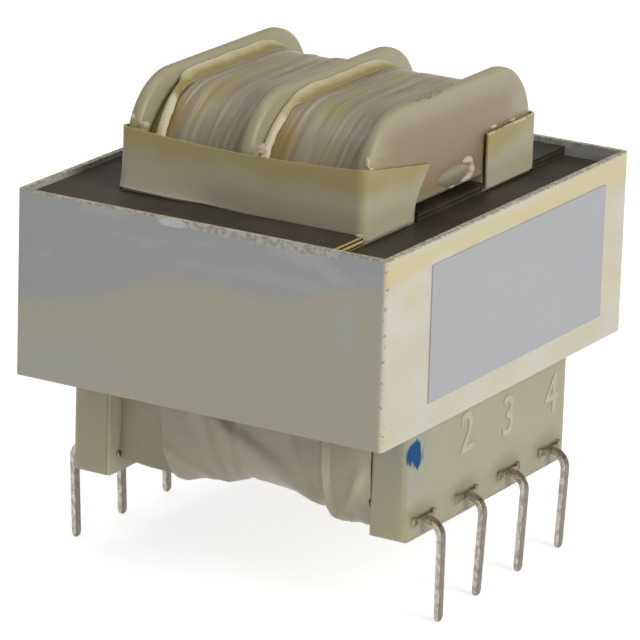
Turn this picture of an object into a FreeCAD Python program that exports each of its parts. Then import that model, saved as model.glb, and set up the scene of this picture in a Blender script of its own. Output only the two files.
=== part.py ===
"""Board-mount mains transformer: a split bobbin on a laminated core, with eight strip terminals.

Frame: X runs along the coil axis, Y to the rear, Z up. The origin is on the board plane,
midway between the two rows of terminals, level with the terminal tips. Lengths are millimetres.
"""
import FreeCAD, Part
import os

import Sketcher

SIZES = {
    # Laminated core
    "core_length": 30.0,
    "core_width": 35.2,
    "tongue_width": 9.6,
    "side_leg_width": 5.0,
    "yoke_width": 4.7,
    "lamination_gauge": 0.35,
    "sheets_per_packet": 2,
    "packet_pairs": 9,
    "core_lift": 0.4,
    # Band round the core and its blank label
    "band_wall": 0.45,
    "band_gap": 0.05,
    "band_height": 14.1,
    "band_corner": 0.4,
    "label_gauge": 0.1,
    "label_length": 26.1,
    "label_height": 10.3,
    "label_lift": 2.0,
    "label_setback": 6.4,
    # Bobbin: tube, flanges and terminal blocks
    "pin_stand": 6.3,
    "tunnel_side_gap": 0.15,
    "tunnel_floor_gap": 0.1,
    "tunnel_headroom": 0.6,
    "tube_wall": 0.9,
    "flange_end_gap": 0.15,
    "flange_thickness": 1.0,
    "middle_flange_thickness": 1.0,
    "flange_side_gap": 0.45,
    "flange_above_coil": 0.8,
    "flange_corner": 5.2,
    "flange_foot_drop": 0.6,
    "flange_edge_chamfer": 0.2,
    "middle_flange_drop": 0.3,
    "skirt_inset": 2.05,
    "skirt_lift": 1.6,
    "skirt_round": 0.5,
    "block_setback": 1.05,
    "block_thickness": 3.05,
    "block_inset": 0.1,
    "block_below_coil": 2.3,
    "block_corner": 0.35,
    "block_core_gap": 0.1,
    # Windings, their tape and the crepe strips beside the flanges
    "coil_inset": 0.4,
    "coil_corner": 7.4,
    "winding_end_gap": 0.1,
    "winding_tube_gap": 0.05,
    "tape_gauge": 0.25,
    "strip_gauge": 0.3,
    "strip_width": 0.8,
    "strip_foot_drop": 0.2,
    # Folded insulation papers between the coil and the side legs
    "paper_gauge": 0.25,
    "paper_leg_gap": 0.1,
    "front_paper_rise": 4.8,
    "rear_paper_rise": 3.85,
    "paper_dip": 0.5,
    "paper_foot_drop": 0.9,
    "paper_core_gap": 0.05,
    "paper_flange_gap": 0.05,
    "front_tab_reach": 9.1,
    "front_tab_foot_reach": 6.8,
    "front_tab_fall": 1.5,
    "rear_tab_fall": 0.1,
    "rear_tab_tongue_gap": 0.1,
    # Crepe wrap under the coil
    "wrap_gauge": 0.15,
    "wrap_side_gap": 0.05,
    "wrap_paper_gap": 0.2,
    "wrap_end_drop": 2.1,
    "wrap_hollow_drop": 0.7,
    "wrap_hollow_fall": 0.3,
    "wrap_hollow_start": 1.9,
    "wrap_hollow_end": 4.5,
    "wrap_corner": 5.15,
    "wrap_left_reach": 6.6,
    # Strip terminals
    "pins_per_row": 4,
    "pin_pitch": 6.35,
    "pin_gauge": 0.45,
    "pin_width": 0.7,
    "pin_axis_rise": 1.3,
    "pin_inner_reach": 0.5,
    "pin_outer_reach": 1.85,
    "pin_bend": 1.1,
    "pin_lean": 0.35,
    "pin_tip_chamfer": 0.18,
    "pin_slot_gap": 0.02,
    "shoulder_width": 2.8,
    "shoulder_sunk": 0.4,
    "shoulder_reach": 0.25,
    # Lead-out wires
    "lead_diameter": 0.3,
    "lead_inset": 0.75,
    "lead_end_run": 0.6,
    "outer_lead_inset": 0.95,
}

# Places along X, each an expression over the sheet
HALF_CORE = "Sizes.core_length / 2"
WINDOW_END = f"({HALF_CORE} - Sizes.yoke_width)"
FLANGE_OUTER = f"({WINDOW_END} - Sizes.flange_end_gap)"
FLANGE_INNER = f"({FLANGE_OUTER} - Sizes.flange_thickness)"
MIDDLE_FLANGE = "(Sizes.middle_flange_thickness / 2)"
BLOCK_INNER = f"({FLANGE_OUTER} + Sizes.block_setback)"
BLOCK_OUTER = f"({BLOCK_INNER} + Sizes.block_thickness)"
WINDING_END = f"({FLANGE_INNER} - Sizes.winding_end_gap)"
WINDING_START = f"({MIDDLE_FLANGE} + Sizes.winding_end_gap)"
BAND_INSIDE_X = f"({HALF_CORE} + Sizes.band_gap)"
BAND_OUTSIDE_X = f"({BAND_INSIDE_X} + Sizes.band_wall)"

# Places along Y
TONGUE_SIDE = "(Sizes.tongue_width / 2)"
WINDOW_SIDE = "(Sizes.core_width / 2 - Sizes.side_leg_width)"
TUNNEL_SIDE = f"({TONGUE_SIDE} + Sizes.tunnel_side_gap)"
TUBE_SIDE = f"({TUNNEL_SIDE} + Sizes.tube_wall)"
FLANGE_SIDE = f"({WINDOW_SIDE} - Sizes.flange_side_gap)"
SKIRT_SIDE = f"({FLANGE_SIDE} - Sizes.skirt_inset)"
BLOCK_SIDE = f"({FLANGE_SIDE} - Sizes.block_inset)"
COIL_GROW = f"({FLANGE_SIDE} - Sizes.coil_inset - {TUBE_SIDE})"
TAPE_START = f"({COIL_GROW} - Sizes.tape_gauge)"
WINDING_DEPTH = f"({TAPE_START} - Sizes.winding_tube_gap)"
INSIDE_BEND = "(Sizes.coil_corner - Sizes.tape_gauge)"
PAPER_OUTSIDE = f"({WINDOW_SIDE} - Sizes.paper_leg_gap)"
REACH_TO_TONGUE = f"({PAPER_OUTSIDE} - {TONGUE_SIDE} - Sizes.rear_tab_tongue_gap)"
WRAP_INSIDE = f"({FLANGE_SIDE} + Sizes.wrap_side_gap)"
BAND_INSIDE_Y = "(Sizes.core_width / 2 + Sizes.band_gap)"
BAND_OUTSIDE_Y = f"({BAND_INSIDE_Y} + Sizes.band_wall)"

# Heights above the terminal tips
BLOCK_BOTTOM = "Sizes.pin_stand"
SKIRT_BOTTOM = f"({BLOCK_BOTTOM} + Sizes.skirt_lift)"
PIN_AXIS = f"({BLOCK_BOTTOM} + Sizes.pin_axis_rise)"
COIL_BOTTOM = f"({BLOCK_BOTTOM} + Sizes.block_below_coil)"
MIDDLE_FLANGE_FOOT = f"({COIL_BOTTOM} - Sizes.middle_flange_drop)"
TUBE_BOTTOM = f"({COIL_BOTTOM} + {COIL_GROW})"
FLANGE_FOOT = f"({TUBE_BOTTOM} - Sizes.flange_foot_drop)"
TUNNEL_FLOOR = f"({TUBE_BOTTOM} + Sizes.tube_wall)"
CORE_BOTTOM = f"({TUNNEL_FLOOR} + Sizes.tunnel_floor_gap)"
BLOCK_TOP = f"({CORE_BOTTOM} - Sizes.block_core_gap)"
BAND_BOTTOM = f"({CORE_BOTTOM} - Sizes.core_lift)"
PACKET = "(Sizes.lamination_gauge * Sizes.sheets_per_packet)"
CORE_TOP = f"({CORE_BOTTOM} + (2 * Sizes.packet_pairs + 1) * {PACKET})"
LOWER_YOKE_TOP = f"({CORE_TOP} - {PACKET})"
TUNNEL_CEILING = f"({CORE_TOP} + Sizes.tunnel_headroom)"
TUBE_TOP = f"({TUNNEL_CEILING} + Sizes.tube_wall)"
COIL_TOP = f"({TUBE_TOP} + {COIL_GROW})"
FLANGE_TOP = f"({COIL_TOP} + Sizes.flange_above_coil)"
PAPER_FOOT = f"({BAND_BOTTOM} - Sizes.paper_foot_drop)"

doc = FreeCAD.newDocument("board_transformer")
sheet = doc.addObject("Spreadsheet::Sheet", "Sizes")
for row, (name, value) in enumerate(SIZES.items(), start=1):
    sheet.set(f"A{row}", name)
    sheet.set(f"B{row}", str(value))
    sheet.setAlias(f"B{row}", name)
doc.recompute()

sub_parts = []


def new_body(label):
    """An empty sub-part whose label names its file."""
    body = doc.addObject("PartDesign::Body", label)
    body.Label = label
    sub_parts.append(body)
    return body


def origin_item(body, role):
    """The sub-part's own origin plane or axis with this role."""
    return next(item for item in body.Origin.OriginFeatures if item.Role == role)


def new_sketch(body, name, role, height="0"):
    """A sketch on an origin plane, raised along the plane's normal by an expression."""
    sketch = body.newObject("Sketcher::SketchObject", name)
    sketch.AttachmentSupport = (origin_item(body, role), [""])
    sketch.MapMode = "FlatFace"
    sketch.setExpression("AttachmentOffset.Base.z", height)
    return sketch


def bind(sketch, kind, references, name, expression):
    """A named sketch dimension whose size follows an expression over the sheet."""
    value = float(sketch.evalExpression(expression))
    index = sketch.addConstraint(Sketcher.Constraint(kind, *references, value))
    sketch.renameConstraint(index, name)
    sketch.setExpression(f"Constraints.{name}", expression)


def add_outline(sketch, corners):
    """A closed outline of straight edges through corners given as pairs of expressions."""
    first = sketch.GeometryCount
    points = [
        FreeCAD.Vector(*(float(sketch.evalExpression(place)) for place in corner), 0)
        for corner in corners
    ]
    for start, end in zip(points, points[1:] + points[:1]):
        sketch.addGeometry(Part.LineSegment(start, end), False)
    for number, corner in enumerate(corners):
        edge = first + number
        following = first + (number + 1) % len(corners)
        sketch.addConstraint(Sketcher.Constraint("Coincident", edge, 2, following, 1))
        bind(sketch, "DistanceX", (-1, 1, edge, 1), f"across{edge}", corner[0])
        bind(sketch, "DistanceY", (-1, 1, edge, 1), f"up{edge}", corner[1])


def add_box_outline(sketch, left, right, low, high):
    """A closed rectangle between four expressions."""
    add_outline(sketch, [(left, low), (right, low), (right, high), (left, high)])


def add_rounded_box(sketch, half_width, low, high, low_bend=None, high_bend=None):
    """A closed rectangle about the sketch's upright axis; a corner without a bend is sharp."""
    half, bottom, top = (
        float(sketch.evalExpression(place)) for place in (half_width, low, high)
    )
    corners = [(-half, bottom), (half, bottom), (half, top), (-half, top)]
    corners = [FreeCAD.Vector(across, up, 0) for across, up in corners]
    bends = [low_bend, low_bend, high_bend, high_bend]
    radii = [float(sketch.evalExpression(bend)) if bend else 0 for bend in bends]
    ways = [
        (corners[(number + 1) % 4] - corners[number]).normalize() for number in range(4)
    ]
    for number, way in enumerate(ways):
        following = (number + 1) % 4
        start = corners[number] + way * radii[number]
        end = corners[following] - way * radii[following]
        sketch.addGeometry(Part.LineSegment(start, end), False)
    for number, bend in enumerate(bends):
        before = (number + 3) % 4
        if not bend:
            sketch.addConstraint(Sketcher.Constraint("Coincident", before, 2, number, 1))
            continue
        start = corners[number] - ways[before] * radii[number]
        end = corners[number] + ways[number] * radii[number]
        centre = start + ways[number] * radii[number]
        middle = centre + (corners[number] - centre).normalize() * radii[number]
        arc = sketch.addGeometry(Part.Arc(start, middle, end), False)
        sketch.addConstraint(Sketcher.Constraint("Tangent", before, 2, arc, 1))
        sketch.addConstraint(Sketcher.Constraint("Tangent", number, 1, arc, 2))
        bind(sketch, "Radius", (arc,), f"bend{number}", bend)
    for line in (0, 2):
        sketch.addConstraint(Sketcher.Constraint("Horizontal", line))
    for line in (1, 3):
        sketch.addConstraint(Sketcher.Constraint("Vertical", line))
    bind(sketch, "DistanceX", (-1, 1, 1, 1), "right_side", half_width)
    bind(sketch, "DistanceX", (-1, 1, 3, 1), "left_side", f"-1 * {half_width}")
    bind(sketch, "DistanceY", (-1, 1, 0, 1), "bottom_edge", low)
    bind(sketch, "DistanceY", (-1, 1, 2, 1), "top_edge", high)


def extrude(body, kind, name, sketch, length, symmetric=False, reverse=False):
    """A pad or pocket from a sketch; returns it after a recompute."""
    feature = body.newObject(f"PartDesign::{kind}", name)
    feature.Profile = sketch
    if symmetric:
        feature.SideType = "Symmetric"
    if length is None:
        feature.Type = "ThroughAll"
    else:
        feature.setExpression("Length", length)
    feature.Reversed = reverse
    doc.recompute()
    return feature


def box_pad(body, name, role, height, length, limits, **options):
    """A pad with a rectangular section."""
    sketch = new_sketch(body, f"{name}_outline", role, height)
    add_box_outline(sketch, *limits)
    return extrude(body, "Pad", name, sketch, length, **options)


def box_pocket(body, name, role, height, length, limits, **options):
    """A pocket with a rectangular section."""
    sketch = new_sketch(body, f"{name}_outline", role, height)
    add_box_outline(sketch, *limits)
    return extrude(body, "Pocket", name, sketch, length, **options)


def edges_where(feature, test):
    """Names of a feature's edges whose middle point and direction pass the test."""
    names = []
    for number, edge in enumerate(feature.Shape.Edges, start=1):
        middle = edge.valueAt((edge.FirstParameter + edge.LastParameter) / 2)
        direction = edge.tangentAt((edge.FirstParameter + edge.LastParameter) / 2)
        if test(middle, direction):
            names.append(f"Edge{number}")
    return names


def round_edges(body, name, base, radius, test):
    """A fillet on the edges of the base that pass the test."""
    fillet = body.newObject("PartDesign::Fillet", name)
    fillet.Base = (base, edges_where(base, test))
    fillet.setExpression("Radius", radius)
    doc.recompute()
    return fillet


def soften_edges(body, name, base, width, test):
    """A narrow chamfer on the edges of the base that pass the test."""
    chamfer = body.newObject("PartDesign::Chamfer", name)
    chamfer.Base = (base, edges_where(base, test))
    chamfer.setExpression("Size", width)
    doc.recompute()
    return chamfer


def mirror_across_middle(body, name, features):
    """The same features on the other side of the middle flange."""
    mirror = body.newObject("PartDesign::Mirrored", name)
    mirror.Originals = features
    mirror.MirrorPlane = (origin_item(body, "YZ_Plane"), [""])
    body.Tip = mirror
    doc.recompute()
    return mirror


def size(expression):
    """An expression's present value."""
    return float(sheet.evalExpression(expression.replace("Sizes.", "")))


def near(first, second):
    """True where two places agree within a hair."""
    return abs(first - second) < 1e-4


def along_x(direction):
    return near(abs(direction.x), 1)


def along_z(direction):
    return near(abs(direction.z), 1)


def pin_place(number):
    """Place along Y of one terminal, counted from the front."""
    return f"(({number} - (Sizes.pins_per_row - 1) / 2) * Sizes.pin_pitch)"


def negative(expression):
    return f"-1 * {expression}"


def add_row_of_slots(sketch, width):
    """One narrow slot for each terminal of a row, at the terminals' height."""
    half_width = f"({width} / 2 + Sizes.pin_slot_gap)"
    half_height = "(Sizes.pin_gauge / 2 + Sizes.pin_slot_gap)"
    for number in range(int(SIZES["pins_per_row"])):
        place = pin_place(number)
        add_box_outline(
            sketch, f"{place} - {half_width}", f"{place} + {half_width}",
            f"{PIN_AXIS} - {half_height}", f"{PIN_AXIS} + {half_height}",
        )


# Bobbin: one nylon moulding with a tube, three flanges and two terminal blocks
def make_bobbin():
    body = new_body("bobbin")
    box_pad(
        body, "tube", "YZ_Plane", "0", f"2 * {FLANGE_OUTER}",
        (negative(TUBE_SIDE), TUBE_SIDE, TUBE_BOTTOM, TUBE_TOP), symmetric=True,
    )
    middle = box_pad(
        body, "middle_flange", "YZ_Plane", "0", "Sizes.middle_flange_thickness",
        (negative(FLANGE_SIDE), FLANGE_SIDE, MIDDLE_FLANGE_FOOT, FLANGE_TOP),
        symmetric=True,
    )
    side = size(FLANGE_SIDE)
    rounded_middle = round_edges(
        body, "middle_flange_corners", middle, "Sizes.flange_corner",
        lambda at, way: along_x(way) and near(abs(at.y), side),
    )
    end_flange = box_pad(
        body, "end_flange", "YZ_Plane", FLANGE_INNER, "Sizes.flange_thickness",
        (negative(FLANGE_SIDE), FLANGE_SIDE, FLANGE_FOOT, FLANGE_TOP),
    )
    skirt = box_pad(
        body, "skirt", "YZ_Plane", FLANGE_INNER, f"{BLOCK_INNER} - {FLANGE_INNER}",
        (negative(SKIRT_SIDE), SKIRT_SIDE, SKIRT_BOTTOM, BLOCK_TOP),
    )
    block = box_pad(
        body, "terminal_block", "YZ_Plane", BLOCK_INNER, "Sizes.block_thickness",
        (negative(BLOCK_SIDE), BLOCK_SIDE, BLOCK_BOTTOM, BLOCK_TOP),
    )
    mirrored = mirror_across_middle(body, "second_end", [end_flange, skirt, block])

    top = size(FLANGE_TOP)
    corners = round_edges(
        body, "end_flange_corners", mirrored, "Sizes.flange_corner",
        lambda at, way: along_x(way) and near(abs(at.y), side) and near(at.z, top),
    )
    tunnel = box_pocket(
        body, "tunnel", "YZ_Plane", "0", None,
        (negative(TUNNEL_SIDE), TUNNEL_SIDE, TUNNEL_FLOOR, TUNNEL_CEILING), symmetric=True,
    )
    half_block = size(BLOCK_SIDE)
    block_bottom = size(BLOCK_BOTTOM)
    blocks_rounded = round_edges(
        body, "block_corners", tunnel, "Sizes.block_corner",
        lambda at, way: near(abs(at.y), half_block) and along_z(way)
        or along_x(way) and near(abs(at.y), half_block) and near(at.z, block_bottom),
    )
    half_skirt = size(SKIRT_SIDE)
    skirt_bottom = size(SKIRT_BOTTOM)
    skirts_rounded = round_edges(
        body, "skirt_corners", blocks_rounded, "Sizes.skirt_round",
        lambda at, way: along_x(way) and near(abs(at.y), half_skirt)
        and near(at.z, skirt_bottom),
    )
    outer_face = size(FLANGE_OUTER)
    tube_top = size(TUBE_TOP)
    soften_edges(
        body, "flange_edges", skirts_rounded, "Sizes.flange_edge_chamfer",
        lambda at, way: at.z > tube_top and near(abs(at.x), outer_face),
    )
    slots = new_sketch(body, "pin_slots_outline", "YZ_Plane")
    add_row_of_slots(slots, "Sizes.pin_width")
    extrude(body, "Pocket", "pin_slots", slots, None, symmetric=True)
    seats = new_sketch(body, "shoulder_seats_outline", "YZ_Plane", BLOCK_OUTER)
    add_row_of_slots(seats, "Sizes.shoulder_width")
    seat_depth = "Sizes.shoulder_sunk + Sizes.pin_slot_gap"
    seat_cut = extrude(body, "Pocket", "shoulder_seats", seats, seat_depth)
    mirror_across_middle(body, "second_shoulder_seats", [seat_cut])
    return body


# Laminations: packets of sheets that alternate, so that each gap is bridged by the next packet
def stack_packets(body, features, copies):
    """Repeats a packet upwards, leaving the height of one packet between two copies."""
    body.AllowCompound = True
    pattern = body.newObject("PartDesign::LinearPattern", "packets")
    pattern.Originals = features
    pattern.Direction = (origin_item(body, "Z_Axis"), [""])
    pattern.Mode = "Spacing"
    pattern.setExpression("Offset", f"2 * {PACKET}")
    pattern.setExpression("Occurrences", copies)
    body.Tip = pattern
    doc.recompute()


def make_e_packets(label, yoke_side, bottom, copies):
    """E-shaped packets whose yoke lies towards one end of the core."""
    body = new_body(label)
    yoke_end = f"{yoke_side} * {HALF_CORE}"
    leg_end = f"{-yoke_side} * {WINDOW_END}"
    yoke_inside = f"{yoke_side} * {WINDOW_END}"
    limits = sorted([yoke_end, leg_end], key=size)
    plate = box_pad(
        body, "plate", "XY_Plane", bottom, PACKET,
        (*limits, "-Sizes.core_width / 2", "Sizes.core_width / 2"),
    )
    windows = new_sketch(body, "windows_outline", "XY_Plane", bottom)
    past_leg_end = f"{-yoke_side} * {HALF_CORE}"
    window_limits = sorted([yoke_inside, past_leg_end], key=size)
    add_box_outline(windows, *window_limits, TONGUE_SIDE, WINDOW_SIDE)
    add_box_outline(windows, *window_limits, negative(WINDOW_SIDE), negative(TONGUE_SIDE))
    cut = extrude(body, "Pocket", "windows", windows, PACKET, reverse=True)
    stack_packets(body, [plate, cut], copies)
    return body


def make_i_packets(label, end_side, bottom, copies):
    """Straight packets that close the open ends of the E packets."""
    body = new_body(label)
    limits = sorted([f"{end_side} * {HALF_CORE}", f"{end_side} * {WINDOW_END}"], key=size)
    bar = box_pad(
        body, "bar", "XY_Plane", bottom, PACKET,
        (*limits, "-Sizes.core_width / 2", "Sizes.core_width / 2"),
    )
    stack_packets(body, [bar], copies)
    return body


def make_core():
    second_packet = f"{CORE_BOTTOM} + {PACKET}"
    make_e_packets("core_e_packets_left", -1, CORE_BOTTOM, "Sizes.packet_pairs + 1")
    make_e_packets("core_e_packets_right", 1, second_packet, "Sizes.packet_pairs")
    make_i_packets("core_i_packets_left", -1, second_packet, "Sizes.packet_pairs")
    make_i_packets("core_i_packets_right", 1, CORE_BOTTOM, "Sizes.packet_pairs")


# Band: one strip bent round the four sides of the core
def make_band():
    body = new_body("core_band")
    outer = box_pad(
        body, "band", "XY_Plane", BAND_BOTTOM, "Sizes.band_height",
        (negative(BAND_OUTSIDE_X), BAND_OUTSIDE_X, negative(BAND_OUTSIDE_Y), BAND_OUTSIDE_Y),
    )
    round_edges(
        body, "band_bends", outer, "Sizes.band_corner", lambda at, way: along_z(way)
    )
    box_pocket(
        body, "inside", "XY_Plane", BAND_BOTTOM, "Sizes.band_height",
        (negative(BAND_INSIDE_X), BAND_INSIDE_X, negative(BAND_INSIDE_Y), BAND_INSIDE_Y),
        reverse=True,
    )
    return body


def make_label():
    body = new_body("rating_label")
    front = f"({negative(BAND_OUTSIDE_Y)} + Sizes.label_setback)"
    low = f"({BAND_BOTTOM} + Sizes.label_lift)"
    box_pad(
        body, "label", "YZ_Plane", BAND_OUTSIDE_X, "Sizes.label_gauge",
        (front, f"{front} + Sizes.label_length", low, f"{low} + Sizes.label_height"),
    )
    return body


# Rings round the tube: the windings and the tape over them
def make_ring(label, side, inner_grow, inner_bend, depth, outer_bend):
    """A rounded ring round the tube in the chamber on one side of the middle flange."""
    body = new_body(label)
    length = f"{WINDING_END} - {WINDING_START}"
    start = f"{WINDING_START}" if side > 0 else negative(WINDING_END)
    outer_grow = f"({inner_grow} + {depth})"
    for kind, name, grow, bend in (
        ("Pad", "ring", outer_grow, outer_bend), ("Pocket", "bore", inner_grow, inner_bend),
    ):
        outline = new_sketch(body, f"{name}_outline", "YZ_Plane", start)
        add_rounded_box(
            outline, f"({TUBE_SIDE} + {grow})", f"({TUBE_BOTTOM} - {grow})",
            f"({TUBE_TOP} + {grow})", bend, bend,
        )
        extrude(body, kind, name, outline, length, reverse=kind == "Pocket")
    return body


def make_windings():
    for name, side in (("primary", 1), ("secondary", -1)):
        make_ring(
            f"{name}_winding", side, "Sizes.winding_tube_gap", None, WINDING_DEPTH, INSIDE_BEND
        )
        make_ring(
            f"{name}_tape", side, TAPE_START, INSIDE_BEND, "Sizes.tape_gauge", "Sizes.coil_corner"
        )


# Crepe strips that arch over the coils beside the left and middle flanges
def make_strip(label, start):
    body = new_body(label)
    outer_grow = f"({COIL_GROW} + Sizes.strip_gauge)"
    foot = f"({COIL_TOP} - Sizes.coil_corner - Sizes.strip_foot_drop)"
    for kind, name, grow, bend in (
        ("Pad", "arch", outer_grow, "(Sizes.coil_corner + Sizes.strip_gauge)"),
        ("Pocket", "under_arch", COIL_GROW, "Sizes.coil_corner"),
    ):
        outline = new_sketch(body, f"{name}_outline", "YZ_Plane", start)
        add_rounded_box(
            outline, f"({TUBE_SIDE} + {grow})", foot, f"({TUBE_TOP} + {grow})", None, bend
        )
        extrude(body, kind, name, outline, "Sizes.strip_width", reverse=kind == "Pocket")
    return body


def add_web_outline(sketch, corners, dip_level):
    """Three straight edges, and a top edge that dips in an arc between the last two corners."""
    points = [
        FreeCAD.Vector(*(float(sketch.evalExpression(place)) for place in corner), 0)
        for corner in corners
    ]
    foot_left, foot_right, right_top, left_top = points
    for start, end in ((left_top, foot_left), (foot_left, foot_right), (foot_right, right_top)):
        sketch.addGeometry(Part.LineSegment(start, end), False)
    dip = FreeCAD.Vector(0, float(sketch.evalExpression(dip_level)), 0)
    sketch.addGeometry(Part.Arc(left_top, dip, right_top), False)
    sketch.addConstraint(Sketcher.Constraint("Coincident", 0, 2, 1, 1))
    sketch.addConstraint(Sketcher.Constraint("Coincident", 1, 2, 2, 1))
    arc_ends = (1, 2) if near(sketch.getPoint(3, 1).x, left_top.x) else (2, 1)
    sketch.addConstraint(Sketcher.Constraint("Coincident", 0, 1, 3, arc_ends[0]))
    sketch.addConstraint(Sketcher.Constraint("Coincident", 2, 2, 3, arc_ends[1]))
    for name, line, corner in (("foot_left", 1, 0), ("foot_right", 2, 1), ("top_left", 0, 3)):
        bind(sketch, "DistanceX", (-1, 1, line, 1), f"{name}_across", corners[corner][0])
        bind(sketch, "DistanceY", (-1, 1, line, 1), f"{name}_up", corners[corner][1])
    bind(sketch, "DistanceX", (-1, 1, 2, 2), "top_right_across", corners[2][0])
    bind(sketch, "DistanceY", (-1, 1, 2, 2), "top_right_up", corners[2][1])
    half_span = corners[2][0]
    dip_depth = f"({corners[2][1]} - ({dip_level}))"
    radius = f"({half_span} * {half_span} + {dip_depth} * {dip_depth}) / (2 * {dip_depth})"
    bind(sketch, "Radius", (3,), "dip_radius", radius)


# Insulation papers: a web between coil and side leg, with tabs folded over the end flanges
def make_paper(label, side, rise, reach, foot_reach, fall):
    body = new_body(label)
    top = f"({CORE_TOP} + {rise})"
    half_web = f"({WINDOW_END} - Sizes.paper_core_gap)"
    web = new_sketch(body, "web_outline", "XZ_Plane", f"{-side} * {PAPER_OUTSIDE}")
    corners = [
        (negative(half_web), PAPER_FOOT), (half_web, PAPER_FOOT),
        (half_web, top), (negative(half_web), top),
    ]
    add_web_outline(web, corners, f"{top} - Sizes.paper_dip")
    extrude(body, "Pad", "web", web, "Sizes.paper_gauge", reverse=side < 0)
    tab_start = f"({FLANGE_OUTER} + Sizes.paper_flange_gap)"
    outside = f"{side} * {PAPER_OUTSIDE}"
    for end, yoke_top in ((1, LOWER_YOKE_TOP), (-1, CORE_TOP)):
        foot = f"({yoke_top} + Sizes.paper_core_gap)"
        place = tab_start if end > 0 else f"-1 * ({tab_start} + Sizes.paper_gauge)"
        tab = new_sketch(body, f"tab_outline_{end + 1}", "YZ_Plane", place)
        add_outline(tab, [
            (outside, foot),
            (f"{side} * ({PAPER_OUTSIDE} - {foot_reach})", foot),
            (f"{side} * ({PAPER_OUTSIDE} - {reach})", f"{top} - {fall}"),
            (outside, top),
        ])
        extrude(body, "Pad", f"tab_{end + 1}", tab, "Sizes.paper_gauge")
    return body


# Wrap under the coil: a crepe sheet that hangs lower at its ends, where the leads run
def make_lower_wrap():
    body = new_body("lower_wrap")
    stations = [
        ("-1 * Sizes.wrap_left_reach", "Sizes.wrap_end_drop"),
        ("-1 * Sizes.wrap_hollow_start", "Sizes.wrap_hollow_drop"),
        ("Sizes.wrap_hollow_end", "(Sizes.wrap_hollow_drop + Sizes.wrap_hollow_fall)"),
        (WINDING_END, "Sizes.wrap_end_drop"),
    ]
    top = f"({PAPER_FOOT} - Sizes.wrap_paper_gap)"
    outer_side = f"({WRAP_INSIDE} + Sizes.wrap_gauge)"
    inner_top = f"({top} + Sizes.wrap_corner)"
    shortest_wall = f"({top} - {COIL_BOTTOM} + Sizes.wrap_hollow_drop)"
    outer_bend = f"min(Sizes.wrap_corner; {shortest_wall} - Sizes.wrap_gauge)"
    inner_bend = f"({outer_bend} - Sizes.wrap_gauge)"
    shells = (
        ("AdditiveLoft", "outside", outer_side, "0", top, outer_bend),
        ("SubtractiveLoft", "inside", WRAP_INSIDE, "Sizes.wrap_gauge", inner_top, inner_bend),
    )
    for kind, name, half_width, raise_by, high, bend in shells:
        sections = []
        for number, (place, drop) in enumerate(stations):
            section = new_sketch(body, f"{name}_section_{number}", "YZ_Plane", place)
            low = f"({COIL_BOTTOM} - {drop} + {raise_by})"
            add_rounded_box(section, half_width, low, high, bend)
            sections.append(section)
        doc.recompute()
        loft = body.newObject(f"PartDesign::{kind}", name)
        loft.Profile = sections[0]
        loft.Sections = sections[1:]
        loft.Ruled = True
        doc.recompute()
    return body


# Terminals: flat strips with a wide shoulder, bent down outside the block
def make_pin(label, side, number, lean):
    """One terminal, drawn for the right block and turned half round for the left one."""
    body = new_body(label)
    half = "(Sizes.pin_gauge / 2)"
    inner_end = f"({BLOCK_INNER} - Sizes.pin_inner_reach)"
    leg_outside = f"({BLOCK_OUTER} + Sizes.pin_outer_reach)"
    leg_inside = f"({leg_outside} - Sizes.pin_gauge)"
    strip = new_sketch(body, "strip_outline", "XZ_Plane")
    add_outline(strip, [
        (inner_end, f"{PIN_AXIS} - {half}"),
        (leg_inside, f"{PIN_AXIS} - {half}"),
        (f"{leg_inside} - {lean}", "0"),
        (f"{leg_outside} - {lean}", "0"),
        (leg_outside, f"{PIN_AXIS} + {half}"),
        (inner_end, f"{PIN_AXIS} + {half}"),
    ])
    bent = extrude(body, "Pad", "strip", strip, "Sizes.pin_width", symmetric=True)
    corner_x = size(leg_outside)
    corner_z = size(f"{PIN_AXIS} + {half}")
    outer_bend = round_edges(
        body, "outer_bend", bent, "Sizes.pin_bend",
        lambda at, way: near(at.x, corner_x) and near(at.z, corner_z) and near(abs(way.y), 1),
    )
    inside_x = size(leg_inside)
    inside_z = size(f"{PIN_AXIS} - {half}")
    inner_bend = round_edges(
        body, "inner_bend", outer_bend, "Sizes.pin_bend - Sizes.pin_gauge",
        lambda at, way: near(at.x, inside_x) and near(at.z, inside_z) and near(abs(way.y), 1),
    )
    soften_edges(
        body, "tip", inner_bend, "Sizes.pin_tip_chamfer", lambda at, way: near(at.z, 0)
    )
    shoulder_start = f"({BLOCK_OUTER} - Sizes.shoulder_sunk)"
    box_pad(
        body, "shoulder", "YZ_Plane", shoulder_start,
        "Sizes.shoulder_sunk + Sizes.shoulder_reach",
        (
            "-Sizes.shoulder_width / 2", "Sizes.shoulder_width / 2",
            f"{PIN_AXIS} - {half}", f"{PIN_AXIS} + {half}",
        ),
    )
    if side < 0:
        body.Placement.Rotation = FreeCAD.Rotation(FreeCAD.Vector(0, 0, 1), 180)
    body.setExpression("Placement.Base.y", pin_place(number))
    return body


def make_pins():
    """Terminals 1 to 4 on the right block from the front, 5 to 8 on the left from the rear."""
    per_row = int(SIZES["pins_per_row"])
    for number in range(per_row):
        lean = "0" if number == 0 else "Sizes.pin_lean"
        make_pin(f"terminal_pin_{number + 1}", 1, number, lean)
    for number in range(per_row):
        make_pin(f"terminal_pin_{2 * per_row - number}", -1, number, "Sizes.pin_lean")


# Leads: enamelled wire from the underside of a winding to the inner end of a terminal
MITRED = 1


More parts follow.
